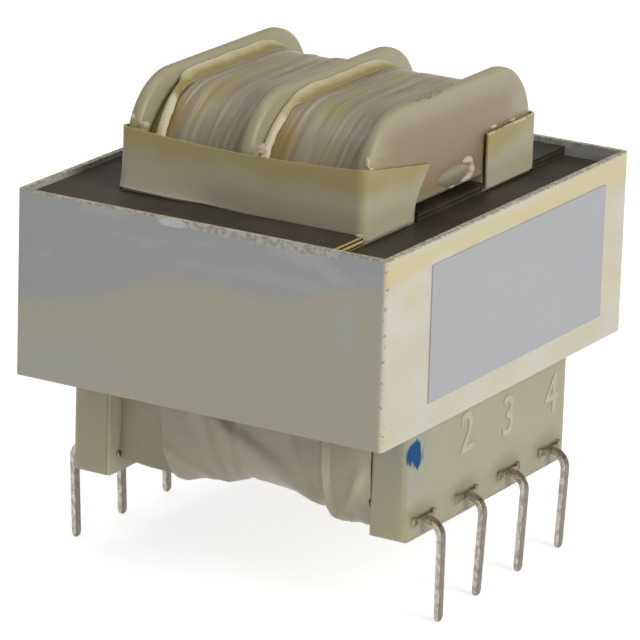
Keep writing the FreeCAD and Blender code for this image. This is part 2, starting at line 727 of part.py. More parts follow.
def make_lead(label, side, number):
    per_row = int(SIZES["pins_per_row"])
    place = size(pin_place(number))
    outer = number in (0, per_row - 1)
    start_side = place
    if outer:
        start_side = size(f"{TUBE_SIDE} - Sizes.outer_lead_inset") * (1 if place > 0 else -1)
    coil_bottom = size(COIL_BOTTOM)
    start_x = side * size(f"{WINDING_END} - Sizes.lead_inset")
    pin_end = side * size(f"{BLOCK_INNER} - Sizes.pin_inner_reach")
    level = size(PIN_AXIS)
    straight = side * size("Sizes.lead_end_run")
    route = [FreeCAD.Vector(start_x, start_side, coil_bottom)]
    route.append(FreeCAD.Vector(start_x, start_side, level))
    if outer:
        route.append(FreeCAD.Vector(pin_end - straight, place, level))
    route.append(FreeCAD.Vector(pin_end, place, level))
    start_disc = Part.Wire(Part.makeCircle(size("Sizes.lead_diameter") / 2, route[0]))
    lead = doc.addObject("Part::Feature", label)
    lead.Label = label
    lead.Shape = Part.makePolygon(route).makePipeShell([start_disc], True, False, MITRED)
    sub_parts.append(lead)
    return lead


def make_leads():
    per_row = int(SIZES["pins_per_row"])
    for number in range(per_row):
        make_lead(f"lead_wire_{number + 1}", 1, number)
    for number in range(per_row):
        make_lead(f"lead_wire_{2 * per_row - number}", -1, number)


def check_model():
    """Stops the build where any feature failed or a sub-part is not a sound solid."""
    for item in doc.Objects:
        if "Invalid" in item.State or "Error" in item.State:
            raise RuntimeError(f"{item.Name} failed: {item.State}")
    for item in sub_parts:
        shape = item.Shape
        if shape.isNull() or not shape.isValid() or not shape.Solids:
            raise RuntimeError(f"{item.Label} has no sound solid")


make_bobbin()
make_core()
make_band()
make_label()
make_windings()
make_strip("margin_strip_left", negative(WINDING_END))
make_strip("margin_strip_middle", WINDING_START)
make_paper(
    "insulation_paper_front", -1, "Sizes.front_paper_rise",
    "Sizes.front_tab_reach", "Sizes.front_tab_foot_reach", "Sizes.front_tab_fall",
)
make_paper(
    "insulation_paper_rear", 1, "Sizes.rear_paper_rise",
    REACH_TO_TONGUE, REACH_TO_TONGUE, "Sizes.rear_tab_fall",
)
make_lower_wrap()
make_pins()
make_leads()
doc.recompute()
check_model()
os.makedirs("parts", exist_ok=True)
for item in sub_parts:
    item.Shape.exportStep(f"parts/{item.Label}.step")
    print(f"{item.Label}: {len(item.Shape.Solids)} solid(s), {item.Shape.Volume:.1f} mm3")
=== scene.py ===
# %% [markdown]
# # A board-mount transformer
#
# The part is a small mains transformer for a circuit board. A nylon bobbin carries two coils and
# stands through a laminated steel core. A pale band holds the core, folded papers keep the coils
# off the steel, and eight tinned terminals come out of the blocks at the bobbin's ends.
#
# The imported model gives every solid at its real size. This lesson dresses it: it keeps the solids
# whose form is already right and gives them a finish, and it models again what is thin, soft,
# creased or rounded on the real object.

# %% Load the model
import bmesh
import bpy
import math
import random
from bisect import bisect
from mathutils import Matrix, Vector, noise


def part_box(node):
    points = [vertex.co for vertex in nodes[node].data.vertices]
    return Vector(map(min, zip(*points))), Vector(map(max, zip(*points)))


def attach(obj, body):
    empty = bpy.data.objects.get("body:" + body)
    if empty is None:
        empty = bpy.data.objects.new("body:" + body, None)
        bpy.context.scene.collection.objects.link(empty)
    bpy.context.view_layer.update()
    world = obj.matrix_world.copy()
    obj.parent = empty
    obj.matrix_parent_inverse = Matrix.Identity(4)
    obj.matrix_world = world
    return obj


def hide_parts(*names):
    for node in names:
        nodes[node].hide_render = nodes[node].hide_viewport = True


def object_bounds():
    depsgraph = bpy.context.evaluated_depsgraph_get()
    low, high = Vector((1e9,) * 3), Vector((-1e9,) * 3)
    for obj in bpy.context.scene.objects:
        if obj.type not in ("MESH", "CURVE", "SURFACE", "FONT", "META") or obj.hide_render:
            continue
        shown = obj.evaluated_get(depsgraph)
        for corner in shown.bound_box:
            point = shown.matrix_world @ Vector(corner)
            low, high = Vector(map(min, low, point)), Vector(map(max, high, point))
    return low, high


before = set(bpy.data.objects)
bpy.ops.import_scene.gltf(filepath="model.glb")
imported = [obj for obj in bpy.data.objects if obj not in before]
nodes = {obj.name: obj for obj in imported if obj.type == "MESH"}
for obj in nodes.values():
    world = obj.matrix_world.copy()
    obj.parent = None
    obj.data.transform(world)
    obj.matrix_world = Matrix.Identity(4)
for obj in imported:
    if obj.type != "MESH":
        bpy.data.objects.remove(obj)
cad_low, cad_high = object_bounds()
print("solids:", len(nodes), "box in mm:", [round(side * 1000, 1) for side in cad_high - cad_low])

# %% [markdown]
# ## Working in millimetres
#
# A transformer this small is easier to think about in millimetres, so every shape is modelled in
# them and scaled to metres once, when it becomes an object. The helper below does that, hands the
# piece to the one body of the part, and hides the solids that the piece stands for.

# %% Turn a finished shape into a piece
MM = 0.001


def box_mm(name):
    """Lowest and highest corner of a solid, in millimetres."""
    low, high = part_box(name)
    return low / MM, high / MM


def make_piece(name, shape, finish, stands_for=(), crease=35):
    """Scales a shape to metres and makes it an object of the part."""
    bmesh.ops.scale(shape, vec=(MM, MM, MM), verts=shape.verts)
    mesh = bpy.data.meshes.new(name)
    shape.to_mesh(mesh)
    shape.free()
    mesh.materials.append(finish)
    mesh.shade_smooth()
    mesh.set_sharp_from_angle(angle=math.radians(crease))
    piece = bpy.data.objects.new(name, mesh)
    bpy.context.scene.collection.objects.link(piece)
    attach(piece, "root")
    if stands_for:
        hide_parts(*stands_for)
    print(name, "has", len(mesh.polygons), "faces")
    return piece


# %% [markdown]
# ## Colours and nodes
#
# Colours are written as the sRGB hex values that one would read off the object in plain light. The
# shader works in linear light, so one function converts them. One more function adds a node, fills
# its sockets and joins it to the nodes before it.

# %% Colour and node helpers
def colour(hex_value):
    """Linear colour with alpha from an sRGB hex value."""
    parts = [int(hex_value[place:place + 2], 16) / 255 for place in (1, 3, 5)]
    linear = [part / 12.92 if part < 0.04045 else ((part + 0.055) / 1.055) ** 2.4 for part in parts]
    return (*linear, 1.0)


def add_node(finish, kind, sockets, stops=(), **settings):
    """A new node; a socket's value may be a number, a colour or another node's output."""
    tree = finish.node_tree
    node = tree.nodes.new(kind)
    for name, value in settings.items():
        setattr(node, name, value)
    for number, (place, hex_value) in enumerate(stops):
        marks = node.color_ramp.elements
        mark = marks[number] if number < len(marks) else marks.new(place)
        mark.position = place
        mark.color = colour(hex_value)
    for socket, value in sockets.items():
        if isinstance(value, bpy.types.NodeSocket):
            tree.links.new(value, node.inputs[socket])
        else:
            node.inputs[socket].default_value = value
    return node


def start_finish(name, **sockets):
    """A material whose surface shader has these constants; gives it and its shader."""
    finish = bpy.data.materials.new(name)
    finish.use_nodes = True
    surface = finish.node_tree.nodes["Principled BSDF"]
    for socket, value in sockets.items():
        surface.inputs[socket.replace("_", " ")].default_value = value
    return finish, surface


def drive(finish, surface, socket, output):
    """Joins a node's output to a socket of the surface shader."""
    finish.node_tree.links.new(output, surface.inputs[socket])


def place_of(finish):
    """Object coordinates in metres, and the same split into X, Y and Z."""
    where = add_node(finish, "ShaderNodeTexCoord", {}).outputs["Object"]
    split = add_node(finish, "ShaderNodeSeparateXYZ", {"Vector": where})
    return where, split.outputs["X"], split.outputs["Y"], split.outputs["Z"]


def blend_colours(finish, amount, first, second):
    """Mixes two colours, each a hex value or an output, by an amount from 0 to 1."""
    first, second = (
        colour(shade) if isinstance(shade, str) else shade for shade in (first, second)
    )
    return add_node(
        finish, "ShaderNodeMix", {0: amount, 6: first, 7: second}, data_type="RGBA"
    ).outputs[2]


def between(finish, value, low, high):
    """A smooth step that is 0 below one value and 1 above another."""
    return add_node(
        finish, "ShaderNodeMapRange", {"Value": value, "From Min": low, "From Max": high},
        interpolation_type="SMOOTHSTEP",
    ).outputs["Result"]


def work_out(finish, how, first, second):
    """A sum on one or two values."""
    return add_node(finish, "ShaderNodeMath", {0: first, 1: second}, operation=how).outputs[0]


def times(finish, *values):
    """The product of two or more values."""
    product = values[0]
    for value in values[1:]:
        product = work_out(finish, "MULTIPLY", product, value)
    return product


def grain(finish, where, size_mm, detail=3.0, stretch=(1, 1, 1)):
    """Noise with features of about this size in millimetres, longer where stretch is under one."""
    turned = add_node(finish, "ShaderNodeMapping", {"Vector": where, "Scale": stretch})
    return add_node(
        finish, "ShaderNodeTexNoise",
        {"Vector": turned.outputs["Vector"], "Scale": 1 / (size_mm * MM), "Detail": detail},
    ).outputs["Fac"]


def roughen(finish, surface, height, depth_mm):
    """Bump from a height between 0 and 1."""
    bump = add_node(finish, "ShaderNodeBump", {"Height": height, "Distance": depth_mm * MM})
    drive(finish, surface, "Normal", bump.outputs["Normal"])


def gloss_of(finish, pattern, smooth, rough):
    """Roughness between two values, following a pattern."""
    return add_node(
        finish, "ShaderNodeMapRange", {"Value": pattern, "To Min": smooth, "To Max": rough}
    ).outputs["Result"]


def facing(finish, axis):
    """How far a face looks along one axis, from -1 to 1."""
    normal = add_node(finish, "ShaderNodeNewGeometry", {}).outputs["Normal"]
    return add_node(finish, "ShaderNodeSeparateXYZ", {"Vector": normal}).outputs[axis]


print("helpers are ready")

# %% [markdown]
# ## Camera, floor and light
#
# The camera stands where the photograph was taken: far off with a long lens, about 30 degrees to
# the right of the front and 17 degrees up, with a small roll. The floor is white and keeps a
# faint shadow. A large lamp on the right makes the label's side the bright one, and the pale world
# fills the rest.

# %% Camera
CAMERA_PLACE = Vector((182.9, -313.4, 130.2)) * MM
CAMERA_AZIMUTH = math.radians(30.32)
CAMERA_ELEVATION = math.radians(17.25)
CAMERA_ROLL = math.radians(1.79)
LENS = 287.0


def place_camera():
    forward = Vector((
        -math.sin(CAMERA_AZIMUTH) * math.cos(CAMERA_ELEVATION),
        math.cos(CAMERA_AZIMUTH) * math.cos(CAMERA_ELEVATION),
        -math.sin(CAMERA_ELEVATION),
    ))
    level_right = forward.cross(Vector((0, 0, 1))).normalized()
    roll = Matrix.Rotation(-CAMERA_ROLL, 3, forward)
    right = roll @ level_right
    up = right.cross(forward)
    turned = Matrix((right, up, -forward)).transposed().to_4x4()
    lens = bpy.data.cameras.new("camera")
    lens.lens = LENS
    lens.clip_start = 0.01
    camera = bpy.data.objects.new("camera", lens)
    camera.matrix_world = Matrix.Translation(CAMERA_PLACE) @ turned
    bpy.context.scene.collection.objects.link(camera)
    bpy.context.scene.camera = camera
    print("camera is", round(CAMERA_PLACE.length, 3), "m from the origin")


place_camera()

# %% Floor and world
bpy.context.scene.view_settings.view_transform = "Standard"
FLOOR_GLOW = 0.74
FLOOR_TONE = "#E2E2E2"
WORLD_FILL = 0.26


def seen_ray(finish):
    """1 for rays that show the background: straight from the camera, mirrored or through glass."""
    path = add_node(finish, "ShaderNodeLightPath", {})
    straight = path.outputs["Is Camera Ray"]
    mirrored = work_out(finish, "MAXIMUM", straight, path.outputs["Is Glossy Ray"])
    return work_out(finish, "MAXIMUM", mirrored, path.outputs["Is Transmission Ray"])


def make_floor():
    finish = bpy.data.materials.new("white_floor")
    finish.use_nodes = True
    finish.node_tree.nodes.clear()
    matt = add_node(finish, "ShaderNodeBsdfDiffuse", {"Color": colour(FLOOR_TONE)})
    glow = add_node(
        finish, "ShaderNodeEmission",
        {"Strength": times(finish, seen_ray(finish), FLOOR_GLOW)},
    )
    both = add_node(
        finish, "ShaderNodeAddShader", {0: matt.outputs["BSDF"], 1: glow.outputs["Emission"]}
    )
    add_node(finish, "ShaderNodeOutputMaterial", {"Surface": both.outputs["Shader"]})
    shape = bmesh.new()
    bmesh.ops.create_grid(shape, x_segments=1, y_segments=1, size=4.0)
    mesh = bpy.data.meshes.new("floor")
    shape.to_mesh(mesh)
    shape.free()
    mesh.materials.append(finish)
    floor = bpy.data.objects.new("floor", mesh)
    bpy.context.scene.collection.objects.link(floor)


def light_world():
    """Plain fill; the background is white, and mirrors see it white only near the horizon."""
    world = bpy.data.worlds.new("pale_room")
    world.use_nodes = True
    bpy.context.scene.world = world
    fill = world.node_tree.nodes["Background"]
    fill.inputs["Color"].default_value = (1, 1, 1, 1)
    way = add_node(world, "ShaderNodeTexCoord", {}).outputs["Generated"]
    height = add_node(world, "ShaderNodeSeparateXYZ", {"Vector": way}).outputs["Z"]
    low_sky = between(world, height, 0.25, 0.05)
    path = add_node(world, "ShaderNodeLightPath", {})
    mirrored = work_out(world, "MAXIMUM", path.outputs["Is Glossy Ray"],
                        path.outputs["Is Transmission Ray"])
    mirrored = times(world, mirrored, low_sky)
    seen = work_out(world, "MAXIMUM", path.outputs["Is Camera Ray"], mirrored)
    strength = times(world, seen, 1 - WORLD_FILL)
    strength = work_out(world, "ADD", strength, WORLD_FILL)
    world.node_tree.links.new(strength, fill.inputs["Strength"])


make_floor()
light_world()
print("floor and world are set")


# %% Lamps
def hang_lamp(name, place_mm, watts, side_mm):
    """A square soft lamp that faces the middle of the part."""
    lamp = bpy.data.lights.new(name, "AREA")
    lamp.energy = watts
    lamp.size = side_mm * MM
    holder = bpy.data.objects.new(name, lamp)
    middle = (cad_low + cad_high) / 2
    place = Vector(place_mm) * MM
    holder.matrix_world = (
        Matrix.Translation(place) @ (middle - place).to_track_quat("-Z", "Y").to_matrix().to_4x4()
    )
    bpy.context.scene.collection.objects.link(holder)
    print(name, watts, "W")


hang_lamp("right_lamp", (620, -120, 330), 2.4, 360)
hang_lamp("top_lamp", (-120, 60, 700), 0.9, 400)
hang_lamp("front_lamp", (-260, -640, 200), 0.2, 300)

# %% [markdown]
# ## Sheets that follow a path
#
# Tape, crepe and paper are all thin sheets that are laid round something. One way of making them
# serves for all: a flat grid is laid along a path with rounded corners, and a function says how
# far each point stands off the path. The sheet then gets its thickness. Its UV map keeps the
# shares along and across, so that a pattern can follow the sheet.

# %% Paths with rounded corners
def rounded_path(corners, radii, arc_steps=10):
    """Points of a flat line through the corners, with each inner corner turned in an arc."""
    corners = [Vector(corner) for corner in corners]
    points = [corners[0]]
    for before, corner, after, radius in zip(corners, corners[1:], corners[2:], radii):
        arrive = (corner - before).normalized()
        leave = (after - corner).normalized()
        turn = math.atan2(arrive.cross(leave), arrive.dot(leave))
        start = corner - arrive * radius * math.tan(abs(turn) / 2)
        side = Vector((-arrive.y, arrive.x)) * math.copysign(radius, turn)
        centre = start + side
        for step in range(arc_steps + 1):
            swing = Matrix.Rotation(turn * step / arc_steps, 2)
            points.append(centre + swing @ (start - centre))
    points.append(corners[-1])
    return points


def walk(points):
    """Length of a path, and a function from a distance on it to the place and its right side."""
    reached = [0.0]
    for first, second in zip(points, points[1:]):
        reached.append(reached[-1] + (second - first).length)

    def at(distance):
        number = min(max(bisect(reached, distance) - 1, 0), len(points) - 2)
        first, second = points[number], points[number + 1]
        share = (distance - reached[number]) / (reached[number + 1] - reached[number])
        ahead = (second - first).normalized()
        return first.lerp(second, share), Vector((ahead.y, -ahead.x))

    return reached[-1], at


def bend_sheet(along_cuts, across_cuts, put, thickness, joined=False):
    """A grid put in place by its shares along and across; without a thickness it is a filled tube."""
    shape = bmesh.new()
    shape.loops.layers.uv.new("laid")
    bmesh.ops.create_grid(
        shape, x_segments=along_cuts, y_segments=across_cuts, size=0.5, calc_uvs=True
    )
    for point in shape.verts:
        point.co = put(point.co.x + 0.5, point.co.y + 0.5)
    if joined:
        bmesh.ops.remove_doubles(shape, verts=shape.verts, dist=0.001)
    bmesh.ops.recalc_face_normals(shape, faces=shape.faces)
    if thickness:
        bmesh.ops.solidify(shape, geom=shape.faces, thickness=thickness)
    else:
        bmesh.ops.holes_fill(shape, edges=shape.edges, sides=0)
    bmesh.ops.recalc_face_normals(shape, faces=shape.faces)
    return shape


def ease(value):
    """A smooth step from 0 to 1."""
    value = min(max(value, 0.0), 1.0)
    return value * value * (3 - 2 * value)


print("paths and sheets are ready")

# %% [markdown]
# ## Nylon
#
# The bobbin is injection-moulded nylon. Unfilled nylon is off-white and lets a little light in, so
# thin walls glow and the coil behind the right flange shows through as a mauve cloud. Subsurface
# scattering gives the glow. The cloud, the varnish in the corners and the dab of blue marking paint
# are soft patches placed by coordinates.

# %% Places on the solids
band_low, band_high = box_mm("core_band")
bobbin_high = box_mm("bobbin")[1]
tape_low, tape_high = box_mm("primary_tape")
FLANGE_GAP = 0.1
FLANGE_THICKNESS = 1.0
flange_inside = tape_high.x + FLANGE_GAP
flange_outside = flange_inside + FLANGE_THICKNESS
print("flanges from", round(flange_inside, 2), "to", round(flange_outside, 2), "mm")


# %% Moulded nylon
def blob(finish, where, centre_mm, size_mm, ragged=None, soft=0.15):
    """1 near a place and 0 away from it, with a soft edge that a noise may make ragged."""
    shifted = add_node(
        finish, "ShaderNodeVectorMath", {0: where, 1: Vector(centre_mm) * MM},
        operation="SUBTRACT",
    ).outputs["Vector"]
    scaled = add_node(
        finish, "ShaderNodeVectorMath",
        {0: shifted, 1: [1 / (side * MM) for side in size_mm]}, operation="MULTIPLY",
    ).outputs["Vector"]
    away = add_node(
        finish, "ShaderNodeVectorMath", {0: scaled}, operation="LENGTH"
    ).outputs["Value"]
    if ragged is not None:
        away = work_out(finish, "ADD", away, work_out(finish, "SUBTRACT", ragged, 0.5))
    return between(finish, away, 1 + soft, 1 - soft)


print("soft patches are ready")


# %% Colours of the nylon
LEFT_BLOCK_FACE = -11.1
CLOUD_SIDES = (11.5, 7.5)
CLOUD_TOP = (36.9, 34.4)


def plain_nylon(finish, x, above_core, mottle):
    """Blocks, with painted light that makes their front faces and the left one's inner face paler,
    and browner flanges above them.
    """
    blocks = blend_colours(finish, mottle, "#AEA885", "#BBB599")
    # Painted light: faces that look to the front are made paler.
    painted_front_light = between(finish, facing(finish, "Y"), -0.85, -0.98)
    blocks = blend_colours(finish, painted_front_light, blocks, "#CBC5A4")
    # Painted light: the left block's inner face, looking along +X, is made much paler.
    on_left = between(finish, x, (LEFT_BLOCK_FACE + 0.1) * MM, LEFT_BLOCK_FACE * MM)
    painted_inner_light = times(finish, between(finish, facing(finish, "X"), 0.5, 0.9), on_left)
    blocks = blend_colours(finish, painted_inner_light, blocks, "#F0E9CC")
    flanges = blend_colours(finish, mottle, "#ABA282", "#B9B193")
    return blend_colours(finish, above_core, blocks, flanges)


def coil_behind(finish, x, y, z):
    """1 in the middle of the right flange's outer face, where the coil shows through."""
    face = between(finish, x, (flange_outside - 0.15) * MM, (flange_outside - 0.02) * MM)
    off_middle = work_out(finish, "ABSOLUTE", y, 0.0)
    inner_y = between(finish, off_middle, *[side * MM for side in CLOUD_SIDES])
    inner_z = between(finish, z, *[height * MM for height in CLOUD_TOP])
    return times(finish, inner_y, inner_z, face)


print("nylon colours are ready")


# %% Paint and dirt on the nylon
DAB_MIDDLE = (14.2, -10.7, 12.8)
DAB_SIZE = (0.5, 1.55, 1.3)
PIN_PITCH = 6.35
PINS_PER_ROW = 4
SEAT_X, SEAT_SHIFT, SEAT_Z = 14.2, -0.3, 8.2


def add_paint(finish, where, tone):
    """The dab of marking paint in its faint halo; gives the colour and the dab's share."""
    halo = blob(finish, where, DAB_MIDDLE, (2.0, 2.4, 2.6), soft=0.8)
    tone = blend_colours(finish, times(finish, halo, 0.25), tone, "#8FA4AE")
    streaky = grain(finish, where, 0.8, stretch=(1, 1, 0.35))
    dab = blob(finish, where, DAB_MIDDLE, DAB_SIZE, times(finish, streaky, 1.5))
    return blend_colours(finish, dab, tone, "#04507F"), dab


def add_dirt(finish, where, tone, fine):
    """Brown varnish round the terminals' seats and specks on the right flange's rim."""
    for number in range(PINS_PER_ROW):
        place = PIN_PITCH * (number - (PINS_PER_ROW - 1) / 2) + SEAT_SHIFT
        middle = (SEAT_X, place, SEAT_Z)
        seat = blob(finish, where, middle, (0.6, 1.7, 0.8), fine, 0.75)
        tone = blend_colours(finish, times(finish, seat, 0.5), tone, "#857748")
    rim = blob(finish, where, (9.7, -2.2, 37.0), (0.35, 3.2, 0.3), fine)
    specks = between(finish, grain(finish, where, 0.25), 0.45, 0.6)
    return blend_colours(finish, times(finish, rim, specks, 0.75), tone, "#5E523E")


print("paint and dirt are ready")


# %% Finish of the bobbin
def make_nylon():
    finish, surface = start_finish(
        "moulded_nylon", IOR=1.53,
        Subsurface_Radius=(1.0, 0.85, 0.6), Subsurface_Scale=1.6 * MM,
    )
    where, x, y, z = place_of(finish)
    mottle = grain(finish, where, 5.0)
    fine = grain(finish, where, 0.7)
    above_core = between(finish, z, band_high.z * MM, (band_high.z + 1.0) * MM)
    tone = plain_nylon(finish, x, above_core, mottle)
    cloud = times(finish, coil_behind(finish, x, y, z), above_core)
    behind = blend_colours(finish, mottle, "#9E866B", "#A69273")
    tone = blend_colours(finish, cloud, tone, behind)
    corner = blob(finish, where, (10.2, -10.4, 33.2), (1.2, 1.3, 0.8), fine)
    tone = blend_colours(finish, times(finish, corner, 0.35), tone, "#A8842F")
    tone, dab = add_paint(finish, where, tone)
    drive(finish, surface, "Base Color", add_dirt(finish, where, tone, fine))
    dull = work_out(finish, "MAXIMUM", gloss_of(finish, fine, 0.3, 0.5), times(finish, dab, 0.9))
    drive(finish, surface, "Roughness", dull)
    glow = times(finish, work_out(finish, "SUBTRACT", 1.0, dab), 0.6)
    drive(finish, surface, "Subsurface Weight", glow)
    soft = add_node(finish, "ShaderNodeBevel", {"Radius": 0.45 * MM}, samples=8).outputs["Normal"]
    bump = add_node(
        finish, "ShaderNodeBump", {"Height": fine, "Distance": 0.02 * MM, "Normal": soft}
    )
    drive(finish, surface, "Normal", bump.outputs["Normal"])
    return finish


nylon = make_nylon()
print("nylon is mixed")

# %% [markdown]
# ## Bobbin
#
# A moulding has no sharp edge: each rim is rounded by the tool. The solid already has the right
# walls, so its mesh is copied, its points are merged, and its hard edges are turned into small
# rounds that catch the light. The flanges are rounded most.

# %% Round the bobbin's edges
FLANGE_ROUND = 0.3
BLOCK_ROUND = 0.18
CHAMFER_ROUND = 0.07
TUBE_RISE = 1.3
TUBE_HALF = 6.5


def round_where(shape, test, width, segments):
    """A round on each edge whose ends and angle pass the test."""
    chosen = [
        edge for edge in shape.edges
        if test(edge.verts[0].co, edge.verts[1].co, math.degrees(edge.calc_face_angle(0)))
    ]
    bmesh.ops.bevel(
        shape, geom=chosen, affect="EDGES", offset=width, segments=segments, profile=0.5,
        material=-1, clamp_overlap=True,
    )
    return len(chosen)


def round_the_bobbin():
    shape = bmesh.new()
    shape.from_mesh(nodes["bobbin"].data)
    bmesh.ops.scale(shape, vec=(1 / MM, 1 / MM, 1 / MM), verts=shape.verts)
    bmesh.ops.remove_doubles(shape, verts=shape.verts, dist=0.002)
    bmesh.ops.dissolve_limit(
        shape, angle_limit=math.radians(1), verts=shape.verts, edges=shape.edges
    )
    tube_top = band_high.z + TUBE_RISE
    square = round_where(
        shape,
        lambda start, end, angle: angle > 60 and min(start.z, end.z) > tube_top
        and max(abs(start.y), abs(end.y)) > TUBE_HALF,
        FLANGE_ROUND, 3,
    )
    slanting = round_where(
        shape,
        lambda start, end, angle: 40 < angle < 50 and min(start.z, end.z) > tube_top
        and min(abs(start.x), abs(end.x)) > flange_outside - 0.3,
        CHAMFER_ROUND, 2,
    )
    outer = bobbin_high.x - 0.01
    blocks = round_where(
        shape,
        lambda start, end, angle: angle > 60 and max(start.z, end.z) < band_low.z + 1
        and min(abs(start.x), abs(end.x)) > outer
        and (abs(start.z - end.z) > 3 or abs(start.y - end.y) > 15),
        BLOCK_ROUND, 3,
    )
    print("rounded edges:", square, slanting, blocks)
    make_piece("rounded_bobbin", shape, nylon, ["bobbin"])


round_the_bobbin()

# %% [markdown]
# ## Moulded numerals
#
# The terminals' numbers stand a hair proud of the block, in the same nylon tinted lighter as a
# painted sheen. They are text curves made into mesh, which is the plain way to get a clean numeral.

# %% Numerals on the block
NUMERAL_HEIGHT = 3.1
NUMERAL_RELIEF = 0.04
NUMERAL_MIDDLES = {"2": (-3.3, 12.3), "3": (2.95, 11.9), "4": (9.7, 11.8)}


def make_numeral_nylon():
    # Painted sheen: the numerals are tinted lighter and yellower than the block.
    finish, surface = start_finish(
        "moulded_numeral", Roughness=0.22, IOR=1.53, Base_Color=colour("#C8C197"),
        Subsurface_Weight=0.3, Subsurface_Radius=(1.0, 0.8, 0.5), Subsurface_Scale=0.9 * MM,
    )
    return finish


def raise_numeral(digit, place, finish):
    text = bpy.data.curves.new(f"numeral_{digit}", "FONT")
    text.body = digit
    text.align_x = "CENTER"
    text.align_y = "CENTER"
    text.extrude = NUMERAL_RELIEF
    text.offset = 0.01
    holder = bpy.data.objects.new(f"numeral_{digit}", text)
    flat = holder.to_mesh()
    shape = bmesh.new()
    shape.from_mesh(flat)
    holder.to_mesh_clear()
    bpy.data.objects.remove(holder)
    bmesh.ops.remove_doubles(shape, verts=shape.verts, dist=0.0001)
    tall = max(point.co.y for point in shape.verts) - min(point.co.y for point in shape.verts)
    grow = NUMERAL_HEIGHT / tall
    bmesh.ops.scale(shape, vec=(grow * 0.95, grow, 1), verts=shape.verts)
    stand = Matrix.Translation((bobbin_high.x, *place))
    upright = Matrix(((0, 0, 1, 0), (1, 0, 0, 0), (0, 1, 0, 0), (0, 0, 0, 1)))
    bmesh.ops.transform(shape, matrix=stand @ upright, verts=shape.verts)
    make_piece(f"numeral_{digit}", shape, finish)


numeral_nylon = make_numeral_nylon()
for digit, place in NUMERAL_MIDDLES.items():
    raise_numeral(digit, place, numeral_nylon)

# %% [markdown]
# ## Steel: the core
#
# Transformer sheets are silicon steel, blued by annealing and dipped in varnish, so the stack is a
# dark brownish grey with a soft gloss. On the cut edges the sheets show as fine lines, and at the
# near leg two sheet edges get a painted golden highlight.

# %% Varnished laminations
SHEET = 0.35


def make_steel():
    finish, surface = start_finish("varnished_steel", IOR=1.5)
    where, x, y, z = place_of(finish)
    blotch = grain(finish, where, 5.0)
    fine = grain(finish, where, 0.9)
    tone = blend_colours(finish, between(finish, blotch, 0.35, 0.65), "#352F24", "#494030")
    lines = work_out(finish, "SINE", times(finish, z, 2 * math.pi / (SHEET * MM)), 0.0)
    # Painted highlight: thin golden lines on two cut sheet edges of the near leg.
    painted_edge_glint = times(
        finish, between(finish, x, 10.2 * MM, 10.25 * MM), between(finish, x, 10.4 * MM, 10.35 * MM),
        between(finish, y, -12.5 * MM, -12.6 * MM), between(finish, z, 28.14 * MM, 28.18 * MM),
        between(finish, lines, -0.6, 0.2),
    )
    drive(finish, surface, "Base Color", blend_colours(finish, painted_edge_glint, tone, "#E0C878"))
    drive(finish, surface, "Roughness", gloss_of(finish, blotch, 0.42, 0.6))
    roughen(finish, surface, work_out(finish, "ADD", lines, fine), 0.02)
    return finish


def put_on(name, finish):
    """Gives a kept solid its finish."""
    nodes[name].data.materials.clear()
    nodes[name].data.materials.append(finish)


steel = make_steel()
for name in nodes:
    if name.startswith("core_") and name != "core_band":
        put_on(name, steel)
print("steel is on the core")

# %% [markdown]
# ## The band
#
# The core is held by a band of thin strip with a pale, satin coat. Varnish has stained its lower
# front and its top edge yellow, the coat is chipped along the top and worn at the near corner.

# %% Coated band
# Where the coat is paler: middle and size of each patch.
PALE_PATCHES = [
    ((-11.5, -18.1, 16.8), (4.5, 1.0, 1.5)),
    ((8.0, -18.1, 26.3), (2.8, 1.0, 0.45)),
    ((12.3, -18.1, 23.5), (0.8, 1.0, 1.6)),
    ((2.0, -18.1, 26.1), (3.0, 1.0, 0.35)),
]
# Upper edge of the stain on the front, as places (x, z) in millimetres.
STAIN_EDGE = [
    (-15.5, 20.9), (-12.5, 21.1), (-7.3, 22.7), (-3.0, 24.5), (3.0, 24.8), (8.0, 24.8),
    (11.0, 26.2), (15.5, 26.9),
]


def share_of(finish, value, low, high):
    """Share from 0 to 1 that a place has on the way between two sizes in millimetres."""
    return add_node(
        finish, "ShaderNodeMapRange", {"Value": value, "From Min": low * MM, "From Max": high * MM}
    ).outputs["Result"]


def stain_edge(finish, x):
    """Height of the stain's edge at a place on the front, as a share of the band's height."""
    edge = add_node(finish, "ShaderNodeFloatCurve", {
        "Value": share_of(finish, x, band_low.x, band_high.x),
    })
    line = edge.mapping.curves[0]
    for number, (at_x, at_z) in enumerate(STAIN_EDGE):
        place = (
            (at_x - band_low.x) / (band_high.x - band_low.x),
            (at_z - band_low.z) / (band_high.z - band_low.z),
        )
        if number in (0, len(STAIN_EDGE) - 1):
            line.points[0 if number == 0 else -1].location = place
        else:
            line.points.new(*place)
    edge.mapping.update()
    return edge.outputs["Value"]


def front_coat(finish, where, x, z, waver, soft):
    """Grey coat above the stain's edge and yellowed coat below it, with its paler patches."""
    level = share_of(finish, z, band_low.z, band_high.z)
    level = work_out(finish, "SUBTRACT", level, stain_edge(finish, x))
    level = work_out(finish, "ADD", level, times(finish, soft, 0.06))
    above = between(finish, level, -0.02, 0.09)
    front = blend_colours(finish, waver, "#CBC6AC", "#C2BEAC")
    front = blend_colours(finish, above, front, "#B9BABA")
    for middle, size in PALE_PATCHES:
        patch = blob(finish, where, middle, size, soft, 0.9)
        front = blend_colours(finish, times(finish, patch, 0.45), front, "#C6C9CA")
    pale = times(finish, between(finish, soft, 0.58, 0.72), above)
    return blend_colours(finish, times(finish, pale, 0.3), front, "#DEDFDC")


def right_coat(finish, waver, soft):
    """Cream coat with yellow clouds."""
    right = blend_colours(finish, between(finish, soft, 0.3, 0.7), "#E0DBC9", "#DAD4BD")
    yellow = times(finish, between(finish, waver, 0.5, 0.7), 0.5)
    return blend_colours(finish, yellow, right, "#DED2A6")


